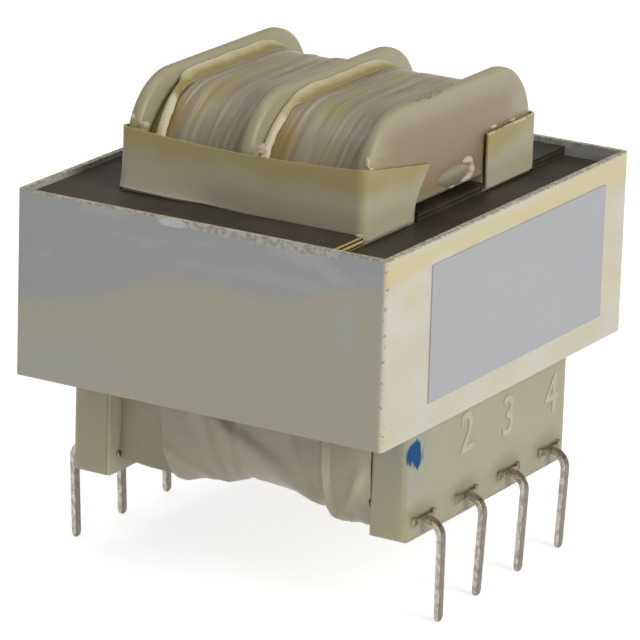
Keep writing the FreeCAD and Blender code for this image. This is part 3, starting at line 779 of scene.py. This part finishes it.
def varnish_run(finish, z, soft):
    """1 in the uneven yellow run under the rim."""
    uneven = work_out(finish, "ADD", z, times(finish, soft, 2.4 * MM))
    return times(
        finish, between(finish, uneven, 28.2 * MM, 29.0 * MM),
        between(finish, uneven, 30.4 * MM, 29.6 * MM),
    )


print("coats are ready")


# %% Wear of the band
def wear_down(finish, x, y, z, fleck, tone):
    """Bare metal on the rim and at the near corner."""
    rim = between(finish, z, 29.0 * MM, 29.15 * MM)
    rim_tone = blend_colours(finish, between(finish, fleck, 0.4, 0.65), "#A59E87", "#D5D0BE")
    tone = blend_colours(finish, rim, tone, rim_tone)
    near_corner = times(
        finish, between(finish, x, 15.1 * MM, 15.35 * MM),
        between(finish, y, -17.6 * MM, -17.85 * MM),
    )
    worn = times(finish, near_corner, between(finish, fleck, 0.6, 0.66), 0.7)
    return blend_colours(finish, worn, tone, "#94846B")


def chip_off(finish, where, x, z, soft, fleck, tone):
    """Chips along the front's upper edge and one white chip."""
    uneven = work_out(finish, "ADD", z, times(finish, fleck, 0.5 * MM))
    uneven = work_out(finish, "ADD", uneven, times(finish, soft, 1.0 * MM))
    chips = times(
        finish, between(finish, uneven, 29.45 * MM, 29.55 * MM),
        between(finish, x, -4.0 * MM, -3.0 * MM), between(finish, x, 12.0 * MM, 11.0 * MM), 0.75,
    )
    chipped = blend_colours(finish, between(finish, fleck, 0.4, 0.55), "#B0A892", "#D2D2CA")
    tone = blend_colours(finish, chips, tone, chipped)
    chip = blob(finish, where, (-2.2, -18.1, 28.9), (1.1, 0.5, 0.32), fleck)
    return blend_colours(finish, chip, tone, "#DCDFE1")


print("rim, near corner and chips are ready")


# %% Finish of the band
def make_band_finish():
    finish, surface = start_finish("coated_strip", IOR=1.5)
    where, x, y, z = place_of(finish)
    waver = grain(finish, where, 6.0, stretch=(0.7, 1, 1))
    soft = grain(finish, where, 2.5, stretch=(0.35, 0.35, 1))
    fleck = grain(finish, where, 0.35)
    on_right = between(finish, x, 15.2 * MM, 15.35 * MM)
    front = front_coat(finish, where, x, z, waver, soft)
    tone = blend_colours(finish, on_right, front, right_coat(finish, waver, soft))
    run = times(finish, varnish_run(finish, z, soft), on_right, 0.75)
    tone = blend_colours(finish, run, tone, "#E0D09A")
    tone = wear_down(finish, x, y, z, fleck, tone)
    tone = chip_off(finish, where, x, z, soft, fleck, tone)
    drive(finish, surface, "Base Color", tone)
    drive(finish, surface, "Roughness", gloss_of(finish, soft, 0.35, 0.55))
    roughen(finish, surface, grain(finish, where, 1.6), 0.04)
    return finish


put_on("core_band", make_band_finish())


# %% Blank label
def make_label_stock():
    finish, surface = start_finish("label_stock", Roughness=0.4, IOR=1.46)
    where, x, y, z = place_of(finish)
    tone = blend_colours(finish, grain(finish, where, 9.0), "#B3B5B8", "#BBBCBE")
    drive(finish, surface, "Base Color", tone)
    return finish


put_on("rating_label", make_label_stock())
print("band and label are finished")

# %% [markdown]
# ## Coils
#
# Each coil is enamelled copper under a few turns of polyester tape. The tape is pulled over uneven
# wire, so it lies in long creases that run round the coil and drift across it. It is half clear:
# copper makes it mauve, and varnish that has crept under it makes it ochre.

# %% Enamelled copper
def make_copper():
    finish, surface = start_finish(
        "enamelled_copper", Metallic=0.8, Roughness=0.32, Coat_Weight=0.6, Coat_Roughness=0.15,
    )
    where, x, y, z = place_of(finish)
    tone = blend_colours(finish, grain(finish, where, 2.0), "#A65A34", "#B8683F")
    drive(finish, surface, "Base Color", tone)
    return finish


copper = make_copper()
for name in nodes:
    if name.endswith("_winding") or name.startswith("lead_wire"):
        put_on(name, copper)
print("copper is on the coils and their leads")


# %% Tape finish
def make_tape_finish(name, start_x, length_mm, width_mm):
    """Tape on one coil; its pattern follows the UV map, which is laid along and across it."""
    finish, surface = start_finish(
        name, IOR=1.6, Subsurface_Weight=0.12,
        Subsurface_Radius=(1.0, 0.6, 0.4), Subsurface_Scale=0.5 * MM,
    )
    laid = add_node(finish, "ShaderNodeTexCoord", {}).outputs["UV"]
    laid = add_node(
        finish, "ShaderNodeMapping", {"Vector": laid, "Scale": (length_mm * MM, width_mm * MM, 1)}
    ).outputs["Vector"]
    where, x, y, z = place_of(finish)
    streak = grain(finish, laid, 0.65, 5.0, stretch=(0.06, 1, 1))
    band = grain(finish, laid, 2.2, 2.0, stretch=(0.1, 1, 1))
    cloud = grain(finish, where, 3.0)
    tone = add_node(
        finish, "ShaderNodeValToRGB", {"Fac": streak},
        stops=[(0.3, "#927D6B"), (0.44, "#A6987E"), (0.57, "#B4A989"), (0.7, "#C7BDA0")],
    ).outputs["Color"]
    ochre = times(finish, between(finish, band, 0.5, 0.65), 0.75)
    tone = blend_colours(finish, ochre, tone, "#B3A268")
    grey = times(finish, between(finish, cloud, 0.5, 0.68), 0.6)
    tone = blend_colours(finish, grey, tone, "#A79F8C")
    crept = times(
        finish, between(finish, x, (start_x + 2.8) * MM, (start_x + 1.3) * MM),
        between(finish, z, 36.1 * MM, 34.0 * MM), between(finish, y, -5 * MM, -9 * MM), 0.85,
    )
    tone = blend_colours(finish, crept, tone, "#9A8038")
    drive(finish, surface, "Base Color", tone)
    drive(finish, surface, "Roughness", gloss_of(finish, cloud, 0.25, 0.45))
    roughen(finish, surface, streak, 0.07)
    return finish


print("tape finish is ready")


# %% Wind the tape
TAPE_CORNER = 7.4
TAPE_SHEET = 0.12
TAPE_REST = -0.07
TAPE_DEEPEST = -0.15
FOLDS = 10
FOLD_SPAN = 1.2
FOLD_FALL = 0.9


def ring_path(low, high, corner):
    """Round the coil in the Y-Z plane, from the middle of its underside, outside to the right."""
    corners = [
        (0, low.z), (high.y, low.z), (high.y, high.z), (low.y, high.z), (low.y, low.z), (0, low.z),
    ]
    return rounded_path(corners, [corner] * 4)


def wind_tape(name, stands_for, seed):
    low, high = box_mm(stands_for)
    length, at = walk(ring_path(low, high, TAPE_CORNER))
    chance = random.Random(seed)
    folds = [
        (
            chance.uniform(low.x, high.x), chance.uniform(-0.09, 0.04),
            chance.choice((-1, 1)) * chance.uniform(0.04, 0.12), chance.uniform(0.1, 0.5),
        )
        for fold in range(FOLDS)
    ]

    def put(share, across):
        x = low.x + (high.x - low.x) * across
        distance = length * share % length
        place, outward = at(distance)
        height = TAPE_REST
        for start, drift, rise, width in folds:
            edge = start + drift * (length - distance)
            height += rise * (ease((x - edge) / width) - ease((x - edge - FOLD_SPAN) / FOLD_FALL))
        height += 0.08 * noise.noise(Vector((x * 0.9, place.x * 0.2, place.y * 0.2 + seed)))
        height -= 0.12 * ease(1 - (high.x - x) / 0.5) + 0.1 * ease(1 - (x - low.x) / 0.5)
        place = place + outward * max(min(height, 0.0), TAPE_DEEPEST)
        return Vector((x, place.x, place.y))

    finish = make_tape_finish(f"polyester_{name}", low.x, length, high.x - low.x)
    shape = bend_sheet(170, 84, put, TAPE_SHEET, joined=True)
    make_piece(name, shape, finish, [stands_for])


wind_tape("primary_tape_layers", "primary_tape", 3)
wind_tape("secondary_tape_layers", "secondary_tape", 8)

# %% [markdown]
# ## Crepe strips
#
# Beside the left and the middle flange a strip of crepe paper fills the gap between tape and wall.
# Its inner edge lies on the tape and is soaked with varnish, its outer edge stands up against the
# flange as a pale lip, ruffled and drawn out to a point at the back. At the front foot it is a
# narrow, stiff, ivory tail.

# %% Crepe paper
def make_crepe(name, start_x):
    """Crepe whose colour runs from an ivory lip at the flange to soaked ochre on the tape."""
    finish, surface = start_finish(
        name, Roughness=0.45, IOR=1.45, Subsurface_Weight=0.3,
        Subsurface_Radius=(1.0, 0.8, 0.5), Subsurface_Scale=0.4 * MM,
    )
    where, x, y, z = place_of(finish)
    ruffled = times(finish, grain(finish, where, 1.4), 0.5 * MM)
    across = work_out(finish, "SUBTRACT", x, start_x * MM)
    across = work_out(finish, "ADD", across, ruffled)
    tone = add_node(
        finish, "ShaderNodeValToRGB",
        {"Fac": times(finish, across, 1 / (1.2 * MM))},
        stops=[(0.2, "#DFD9C6"), (0.4, "#DACFA2"), (0.7, "#C6B583"), (0.95, "#A6935F")],
    ).outputs["Color"]
    tail = between(finish, y, -8.2 * MM, -8.8 * MM)
    drive(finish, surface, "Base Color", blend_colours(finish, tail, tone, "#E8DABB"))
    roughen(finish, surface, grain(finish, where, 0.35), 0.04)
    return finish


LIP_HEIGHT = 0.36
LIP_WIDTH = 1.15
TAIL_LENGTH = 0.24
TAIL_WIDTH = 0.55
STRIP_FOOT = 30.0


def lay_strip(name, stands_for, flange_face, foot_drift):
    """An arched lip from the front wall over the top of the coil, with its tail in front."""
    low, high = box_mm(stands_for)
    arch = [point for point in reversed(ring_path(tape_low, tape_high, TAPE_CORNER))
            if point.y > STRIP_FOOT]
    length, at = walk(arch)

    def put(share, across):
        place, inward = at(length * share * 0.97)
        tail = 1 - ease((share - TAIL_LENGTH) / 0.05)
        point = ease((1 - share) / 0.16)
        ruffle = noise.noise(Vector((share * 14, across * 2, low.x)))
        lift = LIP_HEIGHT * (1 - across) ** 1.3 * point * (0.85 + 0.3 * ruffle) - 0.14 * across ** 2
        lift = lift * (1 - tail) + tail * (0.3 - 0.25 * (2 * across - 1) ** 4)
        ragged = 0.12 * noise.noise(Vector((share * 30, 0.5, low.x)))
        wide = (LIP_WIDTH * (1 - tail) + TAIL_WIDTH * tail + ragged) * (0.3 + 0.7 * point)
        drift = foot_drift * tail * (1 - 0.6 * min(share / TAIL_LENGTH, 1))
        place = place - inward * lift
        return Vector((flange_face + 0.01 + drift + wide * across, place.x, place.y))

    finish = make_crepe(f"crepe_{name}", flange_face)
    make_piece(name, bend_sheet(170, 10, put, 0.1), finish, [stands_for])


lay_strip("left_crepe_lip", "margin_strip_left", -flange_inside, 1.0)
lay_strip("middle_crepe_lip", "margin_strip_middle", 0.5, 0.08)

# %% [markdown]
# ## Insulation papers
#
# A stiff varnished paper is folded round each side of the coil and stands in the core's window. It
# is bent, not creased, at the flanges, its tabs lie against them, and the front tab's end is
# cut in a curve. Below the core's top a plain web of it runs down between coil and leg.

# %% Varnished paper
def make_paper():
    finish, surface = start_finish(
        "varnished_paper", IOR=1.5, Subsurface_Weight=0.2,
        Subsurface_Radius=(1.0, 0.8, 0.5), Subsurface_Scale=0.5 * MM,
    )
    where, x, y, z = place_of(finish)
    mottle = grain(finish, where, 5.0)
    fine = grain(finish, where, 0.8)
    tone = blend_colours(finish, mottle, "#C6BC9A", "#CEC8AE")
    soaked = work_out(finish, "ADD", z, times(finish, mottle, 3.0 * MM))
    soaked = between(finish, soaked, 32.0 * MM, 34.4 * MM)
    tone = blend_colours(finish, times(finish, soaked, 0.75), tone, "#AE9950")
    # Painted highlight: a pale streak along the papers' foot on the left.
    foot = work_out(finish, "ADD", z, times(finish, x, 0.02))
    foot = times(
        finish, between(finish, foot, 29.15 * MM, 28.95 * MM),
        between(finish, x, 3.0 * MM, -2.0 * MM), 0.5,
    )
    tone = blend_colours(finish, foot, tone, "#E2DCC6")
    stain = blob(finish, where, (10.4, 5.8, 31.6), (1.0, 1.7, 1.3), mottle)
    tone = blend_colours(finish, times(finish, stain, 0.35), tone, "#C2A552")
    fibres = work_out(finish, "ADD", z, times(finish, fine, 0.8 * MM))
    fibres = times(
        finish, between(finish, fibres, 32.9 * MM, 33.0 * MM), between(finish, y, 0.0, 1.0 * MM)
    )
    tone = blend_colours(finish, fibres, tone, "#E4DDC8")
    drive(finish, surface, "Base Color", tone)
    drive(finish, surface, "Roughness", gloss_of(finish, fine, 0.35, 0.55))
    roughen(finish, surface, grain(finish, where, 1.5), 0.02)
    return finish


paper_finish = make_paper()
print("paper is varnished")


# %% Fold the papers
PAPER = 0.16
PAPER_BEND = 0.75
PAPER_DIP = 0.5
WEB_SHEET = 0.2
TAB_FOOT_REACH = 6.8
TAB_CURVE_REACH = 2.3
TAB_CURVE_POWER = 1.7
FRONT_TAB_FALL = 1.5
REAR_TAB_REACH = 7.6
FOOT_FALL = 0.47
LEFT_LIFT = 0.25
FLARE = 0.45
CORE_BELOW_RIM = 0.38
FOOT_GAP = 0.03
WEB_INSET = 0.03


def add_bar(shape, middle, size):
    """A plain block added to a shape; gives its corners."""
    matrix = Matrix.Translation(middle) @ Matrix.Diagonal((*size, 1))
    return list(bmesh.ops.create_cube(shape, size=1.0, matrix=matrix)["verts"])


def add_web(shape, low, half, outside, side, top):
    """The paper's part below the core's top, whose left end reaches as high as the sloping foot."""
    middle = Vector((0, outside - side * (WEB_SHEET / 2 + WEB_INSET), (low + top) / 2))
    for point in add_bar(shape, middle, (2 * half - PAPER_BEND, WEB_SHEET, top - low)):
        if point.co.z > middle.z and point.co.x < 0:
            point.co.z += FOOT_FALL


def fold_paper(name, stands_for, side, tab_reach, fall):
    """One folded paper; side is -1 at the front and 1 at the rear."""
    low, high = box_mm(stands_for)
    outside = low.y if side < 0 else high.y
    half = high.x
    foot_level = band_high.z - CORE_BELOW_RIM + FOOT_GAP

    def put(share, across):
        reach = tab_reach(across)
        line = rounded_path(
            [(-half, outside - side * reach), (-half, outside), (half, outside),
             (half, outside - side * reach)], [PAPER_BEND] * 2, 6,
        )
        length, at = walk(line)
        place, right_side = at(length * share)
        folded_back = abs(place.y - outside) / reach
        foot = foot_level - FOOT_FALL * min(max((place.x + 3) / 11.8, 0), 1)
        if side < 0:
            foot += LEFT_LIFT * min(max((-2 - place.x) / 8, 0), 1)
        middle = max(1 - (place.x / half) ** 2, 0.0)
        top = high.z - PAPER_DIP * middle - fall * folded_back
        top += 0.05 * noise.noise(Vector((share * 40, 3.0, side)))
        z = foot + (top - foot) * across
        sag = 0.2 * noise.noise(Vector((place.x * 0.22, z * 0.25, side))) * middle
        flare = 0.0
        if side < 0:
            outward = ease((-1.5 - place.x) / 5) * max(1 - folded_back * 4, 0)
            flare = FLARE * (1 - across) ** 4 * outward
        inward = right_side if side > 0 else -right_side
        place = place + inward * 0.02
        return Vector((place.x, place.y - side * (0.1 + sag * 0.5) * middle + side * flare, z))

    shape = bend_sheet(140, 26, put, PAPER)
    add_web(shape, low.z, half, outside, side, foot_level - FOOT_FALL)
    make_piece(name, shape, paper_finish, [stands_for])


fold_paper(
    "front_paper", "insulation_paper_front", -1,
    lambda level: TAB_FOOT_REACH + TAB_CURVE_REACH * level ** TAB_CURVE_POWER, FRONT_TAB_FALL,
)
fold_paper("rear_paper", "insulation_paper_rear", 1, lambda level: REAR_TAB_REACH, 0.1)

# %% [markdown]
# ## Lower wrap
#
# Under the core the coil is covered by one loose sheet of the same crepe. It hangs lower at its two
# ends than in its middle and is full of slanting creases.

# %% Lower wrap
def make_wrap_paper():
    finish, surface = start_finish(
        "hanging_crepe", IOR=1.5, Subsurface_Weight=0.2,
        Subsurface_Radius=(1.0, 0.8, 0.5), Subsurface_Scale=0.5 * MM,
    )
    where, x, y, z = place_of(finish)
    tone = blend_colours(finish, grain(finish, where, 4.0), "#C2B99A", "#CCC5AC")
    drive(finish, surface, "Base Color", tone)
    drive(finish, surface, "Roughness", gloss_of(finish, grain(finish, where, 2.0), 0.3, 0.5))
    roughen(finish, surface, grain(finish, where, 0.6), 0.03)
    return finish


WRAP_SHEET = 0.12
WRAP_CORNER = 3.6
WRAP_RIGHT_END = 11.3
BLOCK_FACE = 11.12
BLOCK_FRONT = -12.2
END_TUCK = 0.24
LEFT_END_SWING = 0.9
# Height of the underside at places along the coil (x, z).
WRAP_BOTTOM = [(-6.6, 6.6), (-4.4, 7.1), (-1.9, 7.9), (5.0, 7.5), (6.7, 6.95), (9.05, 6.5)]


def wrap_bottom(x):
    """Height of the sheet's underside, between the measured places."""
    for (first, low), (second, high) in zip(WRAP_BOTTOM, WRAP_BOTTOM[1:]):
        if x <= second:
            return low + (high - low) * ease((x - first) / (second - first))
    return WRAP_BOTTOM[-1][1]


# Each crease: where it starts and ends on the front (x, z), its depth and its half-width.
CREASES = [
    ((1.0, 11.6), (6.6, 8.6), 0.45, 1.3),
    ((7.7, 13.5), (7.9, 8.4), 0.5, 0.45),
    ((10.9, 11.0), (9.4, 8.2), 0.25, 0.5),
    ((-2.6, 13.5), (-1.6, 9.0), 0.25, 0.8),
    ((0.4, 13.0), (-0.6, 8.6), 0.35, 0.9),
    ((4.6, 13.5), (5.6, 10.5), 0.2, 0.8),
    ((-5.0, 9.4), (-2.5, 8.2), 0.2, 0.6),
]


def crease_depth(x, y, z):
    """How far the loose sheet is pressed in: the creases' valleys and a few soft waves."""
    depth = 0.12 + 0.12 * noise.noise(Vector((x * 0.35, y * 0.2, z * 0.35)))
    spot = Vector((x, z))
    for start, end, deep, half_width in CREASES:
        start, end = Vector(start), Vector(end)
        along = end - start
        share = min(max((spot - start).dot(along) / along.length_squared, -0.2), 1.2)
        side = (spot - start - along * share).length
        away = (spot - start).cross(along) / along.length / half_width
        steep = away if away > 0 else away * 2.5
        if side < 3 * half_width:
            depth += deep * math.exp(-steep * steep)
    return max(depth + 0.05 * noise.noise(Vector((x * 1.2, y * 0.5, z * 1.1))), 0.0)


def hang_wrap(finish):
    low, high = box_mm("lower_wrap")

    def put(share, across):
        rough_x = low.x + (high.x - low.x) * across
        bottom = wrap_bottom(rough_x)
        line = rounded_path(
            [(high.y, high.z), (high.y, bottom), (low.y, bottom), (low.y, high.z)],
            [WRAP_CORNER] * 2, 8,
        )
        length, at = walk(line)
        place, outward = at(length * share)
        front = ease((-place.x - 8.0) / 2.5)
        right_end = high.x + (WRAP_RIGHT_END - high.x) * front
        hanging = (high.z - place.y) / (high.z - bottom)
        left_end = low.x + LEFT_END_SWING * hanging * front
        if place.x > BLOCK_FRONT:
            right_end = min(right_end, BLOCK_FACE)
        x = left_end + (right_end - left_end) * across
        pressed = crease_depth(x, place.x, place.y) * (0.2 + 0.8 * ease((1 - across) / 0.06))
        place = place - outward * pressed
        tucked = END_TUCK * ease((across - 0.93) / 0.07) * front
        return Vector((x, place.x + tucked, place.y))

    make_piece("hanging_wrap", bend_sheet(130, 84, put, WRAP_SHEET), finish,
               ["lower_wrap"])


# %% The wrap's left border
BORDER_START = -11.3
BORDER_END = -4.8
BORDER_LOW = 7.4
SKIRT_FRONT = -10.25


def tuck_border(finish):
    """The wrap's left border: it hangs from the coil's side and runs in front of the skirt."""
    top = box_mm("lower_wrap")[1].z
    coil_middle = Vector((tape_low.y + TAPE_CORNER, tape_low.z + TAPE_CORNER))

    def put(share, across):
        x = BORDER_START + (BORDER_END - BORDER_START) * share
        lowest = BORDER_LOW - 0.15 * ease((x + 11) / 4)
        z = lowest + (top - lowest) * across
        drop = coil_middle.y - z
        coil_front = coil_middle.x - math.sqrt(max(TAPE_CORNER ** 2 - drop ** 2, 0)) - 0.15
        over_coil = ease((x + 10.6) / 2.6)
        y = SKIRT_FRONT + min(coil_front - SKIRT_FRONT, -0.15) * over_coil
        rim = 0.35 * (1 - across) ** 6 + 0.1 * noise.noise(Vector((x * 0.7, z * 0.4, 5.0)))
        return Vector((x, y - max(rim, 0.0), z))

    make_piece("wrap_border", bend_sheet(48, 26, put, WRAP_SHEET), finish)


wrap_paper = make_wrap_paper()
hang_wrap(wrap_paper)
tuck_border(wrap_paper)

# %% [markdown]
# ## Terminals
#
# The terminals are stamped from tinned strip, with a wide shoulder that seats in the block, and are
# bent down outside it. Rolled strip has rounded edges, the broad faces get a painted shade that
# makes them darker than the cut ones, the tin is golden where the bend stretched it, and the tips
# are nipped to a blunt point.

# %% Tinned strip
def make_tin():
    finish, surface = start_finish("tinned_strip", Metallic=1.0)
    where, x, y, z = place_of(finish)
    cloud = grain(finish, where, 0.3, stretch=(1, 1, 0.6))
    tone = blend_colours(finish, between(finish, cloud, 0.35, 0.65), "#989288", "#C8C3BA")
    # Painted shade: faces that look along X, the strip's broad faces, are made darker.
    painted_dark_sides = between(finish, work_out(finish, "ABSOLUTE", facing(finish, "X"), 0.0), 0.55, 0.8)
    tone = blend_colours(finish, times(finish, painted_dark_sides, 0.75), tone, "#6B645A")
    at_bend = times(
        finish, between(finish, z, 6.6 * MM, 7.2 * MM), between(finish, z, 8.1 * MM, 7.6 * MM),
        between(finish, cloud, 0.45, 0.6), 0.6,
    )
    tone = blend_colours(finish, at_bend, tone, "#C9B178")
    drive(finish, surface, "Base Color", tone)
    drive(finish, surface, "Roughness", gloss_of(finish, cloud, 0.28, 0.5))
    roughen(finish, surface, grain(finish, where, 0.35), 0.04)
    return finish


tin = make_tin()
print("tin is ready")


# %% Bend the terminals
STRIP_GAUGE = 0.45
STRIP_WIDTH = 0.76
STRIP_BEND = 1.2
TERMINAL_LEAN = 0.35
TIP_LENGTH = 0.5
SHOULDER_WIDTH = 2.8
SHOULDER_OUT = 0.25
EAR_WIDTH = 0.4
EAR_HEIGHT = 0.7
EAR_LIFT = 0.06
SHOULDER_IN = 0.4
SHOULDER_ROUND = 0.07
SQUARENESS = 0.35
CUTS_TOWARDS_TIP = 1.15
# The inner end of the front left terminal, which shows beside the wrap.
STUB_PLACE = Vector((-11.12, -10.62, 7.75))
STUB_SIZE = (0.3, 0.5, 0.4)


def nearly_square(turn):
    """One side of a strip's section with rounded edges, from a turn's cosine or sine."""
    return math.copysign(abs(turn) ** SQUARENESS, turn)


def bend_strip(side, middle, low, high, lean):
    """The strip from the block out and down to its nipped tip; gives it and its axis's height."""
    outside = max(abs(low.x), abs(high.x)) - STRIP_GAUGE / 2
    inner_end = min(abs(low.x), abs(high.x))
    axis = high.z - STRIP_GAUGE / 2
    length, at = walk(rounded_path(
        [(inner_end, axis), (outside, axis), (outside - lean, 0)], [STRIP_BEND], 14
    ))

    def put(share, across):
        share = 1 - (1 - share) ** CUTS_TOWARDS_TIP
        place, right_side = at(length * share)
        to_tip = min(length * (1 - share) / TIP_LENGTH, 1)
        tip = math.sqrt(1 - (1 - to_tip) ** 2)
        turn = 2 * math.pi * across
        wide = nearly_square(math.cos(turn)) * STRIP_WIDTH / 2 * (0.4 + 0.6 * tip)
        thick = nearly_square(math.sin(turn)) * STRIP_GAUGE / 2 * (0.45 + 0.55 * tip)
        place = place + right_side * thick
        return Vector((side * place.x, middle + wide, place.y))

    return bend_sheet(90, 24, put, None, joined=True), axis


def add_shoulder(shape, side, middle, axis, with_stub):
    """The wide shoulder in the block with an ear at each end, all slightly rounded."""
    deep = SHOULDER_OUT + SHOULDER_IN
    out = bobbin_high.x + (SHOULDER_OUT - SHOULDER_IN) / 2
    seat = Vector((side * out, middle, axis))
    corners = add_bar(shape, seat, (deep, SHOULDER_WIDTH, STRIP_GAUGE))
    for end in (-1, 1):
        ear = seat + Vector((0, end * SHOULDER_WIDTH / 2, EAR_LIFT))
        corners += add_bar(shape, ear, (deep, EAR_WIDTH, EAR_HEIGHT))
    if with_stub:
        corners += add_bar(shape, STUB_PLACE, STUB_SIZE)
    edges = {edge for point in corners for edge in point.link_edges}
    bmesh.ops.bevel(
        shape, geom=list(edges), affect="EDGES", offset=SHOULDER_ROUND, segments=2, profile=0.5,
        material=-1,
    )


def bend_terminal(name, lean, finish):
    low, high = box_mm(name)
    side = 1 if high.x > 0 else -1
    middle = (low.y + high.y) / 2
    shape, axis = bend_strip(side, middle, low, high, lean)
    add_shoulder(shape, side, middle, axis, name == "terminal_pin_8")
    make_piece(f"bent_{name}", shape, finish, [name])


for name in sorted(nodes):
    if name.startswith("terminal_pin"):
        bend_terminal(name, 0.0 if name == "terminal_pin_1" else TERMINAL_LEAN, tin)

# %% [markdown]
# ## Varnish residue
#
# Dipping leaves small traces: a hooked run where a wire end lies under the tape at the right flange,
# ivory blobs at the flanges' feet and flecks on the core. The blobs are spheres, flattened and sunk
# into what they stick to, and the run is a bead laid along a bent line.

# %% Beads and flecks
def make_residue():
    finish, surface = start_finish(
        "set_varnish", Roughness=0.25, IOR=1.5, Subsurface_Weight=0.3,
        Subsurface_Radius=(1.0, 0.8, 0.5), Subsurface_Scale=0.4 * MM,
    )
    where, x, y, z = place_of(finish)
    tone = blend_colours(finish, grain(finish, where, 0.8), "#CFC299", "#E0D5B8")
    drive(finish, surface, "Base Color", tone)
    return finish


def drop(shape, centre, size, ragged, seed):
    """One flattened drop with an uneven outline."""
    made = bmesh.ops.create_icosphere(shape, subdivisions=3, radius=0.5)
    for point in made["verts"]:
        bump = 1 + ragged * noise.noise(point.co * 4 + Vector((seed, 0, 0)))
        point.co = Vector([at * side * bump for at, side in zip(point.co, size)]) + Vector(centre)


# Each drop: its middle and its size.
RESIDUE = [
    ((8.0, -11.6, 28.85), (0.5, 0.35, 0.15)),
    ((10.1, -12.75, 28.85), (0.7, 0.35, 0.2)),
    ((8.8, 2.2, 28.85), (0.35, 0.3, 0.12)),
    ((-8.7, -11.85, 33.75), (0.75, 0.35, 0.45)),
    ((-9.6, -12.0, 34.25), (0.25, 0.2, 0.4)),
    ((10.0, -11.75, 34.0), (0.3, 0.3, 0.9)),
    ((10.2, -11.6, 33.45), (0.2, 0.7, 0.3)),
    ((1.4, -12.0, 33.6), (0.85, 0.3, 0.75)),
    ((10.1, 0.4, 29.5), (0.25, 0.9, 0.15)),
    ((10.15, 6.4, 32.75), (0.25, 1.0, 0.25)),
    ((10.15, 9.4, 32.65), (0.2, 0.9, 0.2)),
]


def scatter_residue(finish):
    shape = bmesh.new()
    for number, (centre, size) in enumerate(RESIDUE):
        drop(shape, centre, size, 0.5, number * 3.7)
    make_piece("varnish_flecks", shape, finish)


residue = make_residue()
scatter_residue(residue)


# %% Wire end under the tape
RUN_CORNERS = [(1.9, 31.05), (3.1, 31.0), (3.2, 29.75), (1.6, 29.55)]
RUN_BENDS = [0.55, 0.5]
RUN_THICKNESS = 0.36
RUN_FACE = 10.05


def make_wire_end():
    finish, surface = start_finish(
        "taped_wire", Base_Color=colour("#A0947A"), Roughness=0.35, IOR=1.6,
        Subsurface_Weight=0.3, Subsurface_Radius=(1.0, 0.7, 0.5), Subsurface_Scale=0.8 * MM,
    )
    shape = bmesh.new()
    drop(shape, (9.95, 0.6, 30.3), (0.8, 5.4, 1.7), 0.05, 1.0)
    make_piece("covered_wire_end", shape, finish)
    length, at = walk(rounded_path(RUN_CORNERS, RUN_BENDS, 8))

    def put(share, across):
        place, right_side = at(length * share)
        turn = 2 * math.pi * across
        thick = RUN_THICKNESS * (0.2 + 0.8 * math.sin(math.pi * share ** 0.7) ** 0.7)
        thick *= 1 + 0.3 * noise.noise(Vector((share * 7, 0.0, 2.0)))
        place = place + right_side * thick * math.cos(turn)
        return Vector((RUN_FACE + thick * math.sin(turn), place.x, place.y))

    shape = bend_sheet(40, 16, put, None, joined=True)
    make_piece("varnish_bead", shape, residue)


make_wire_end()
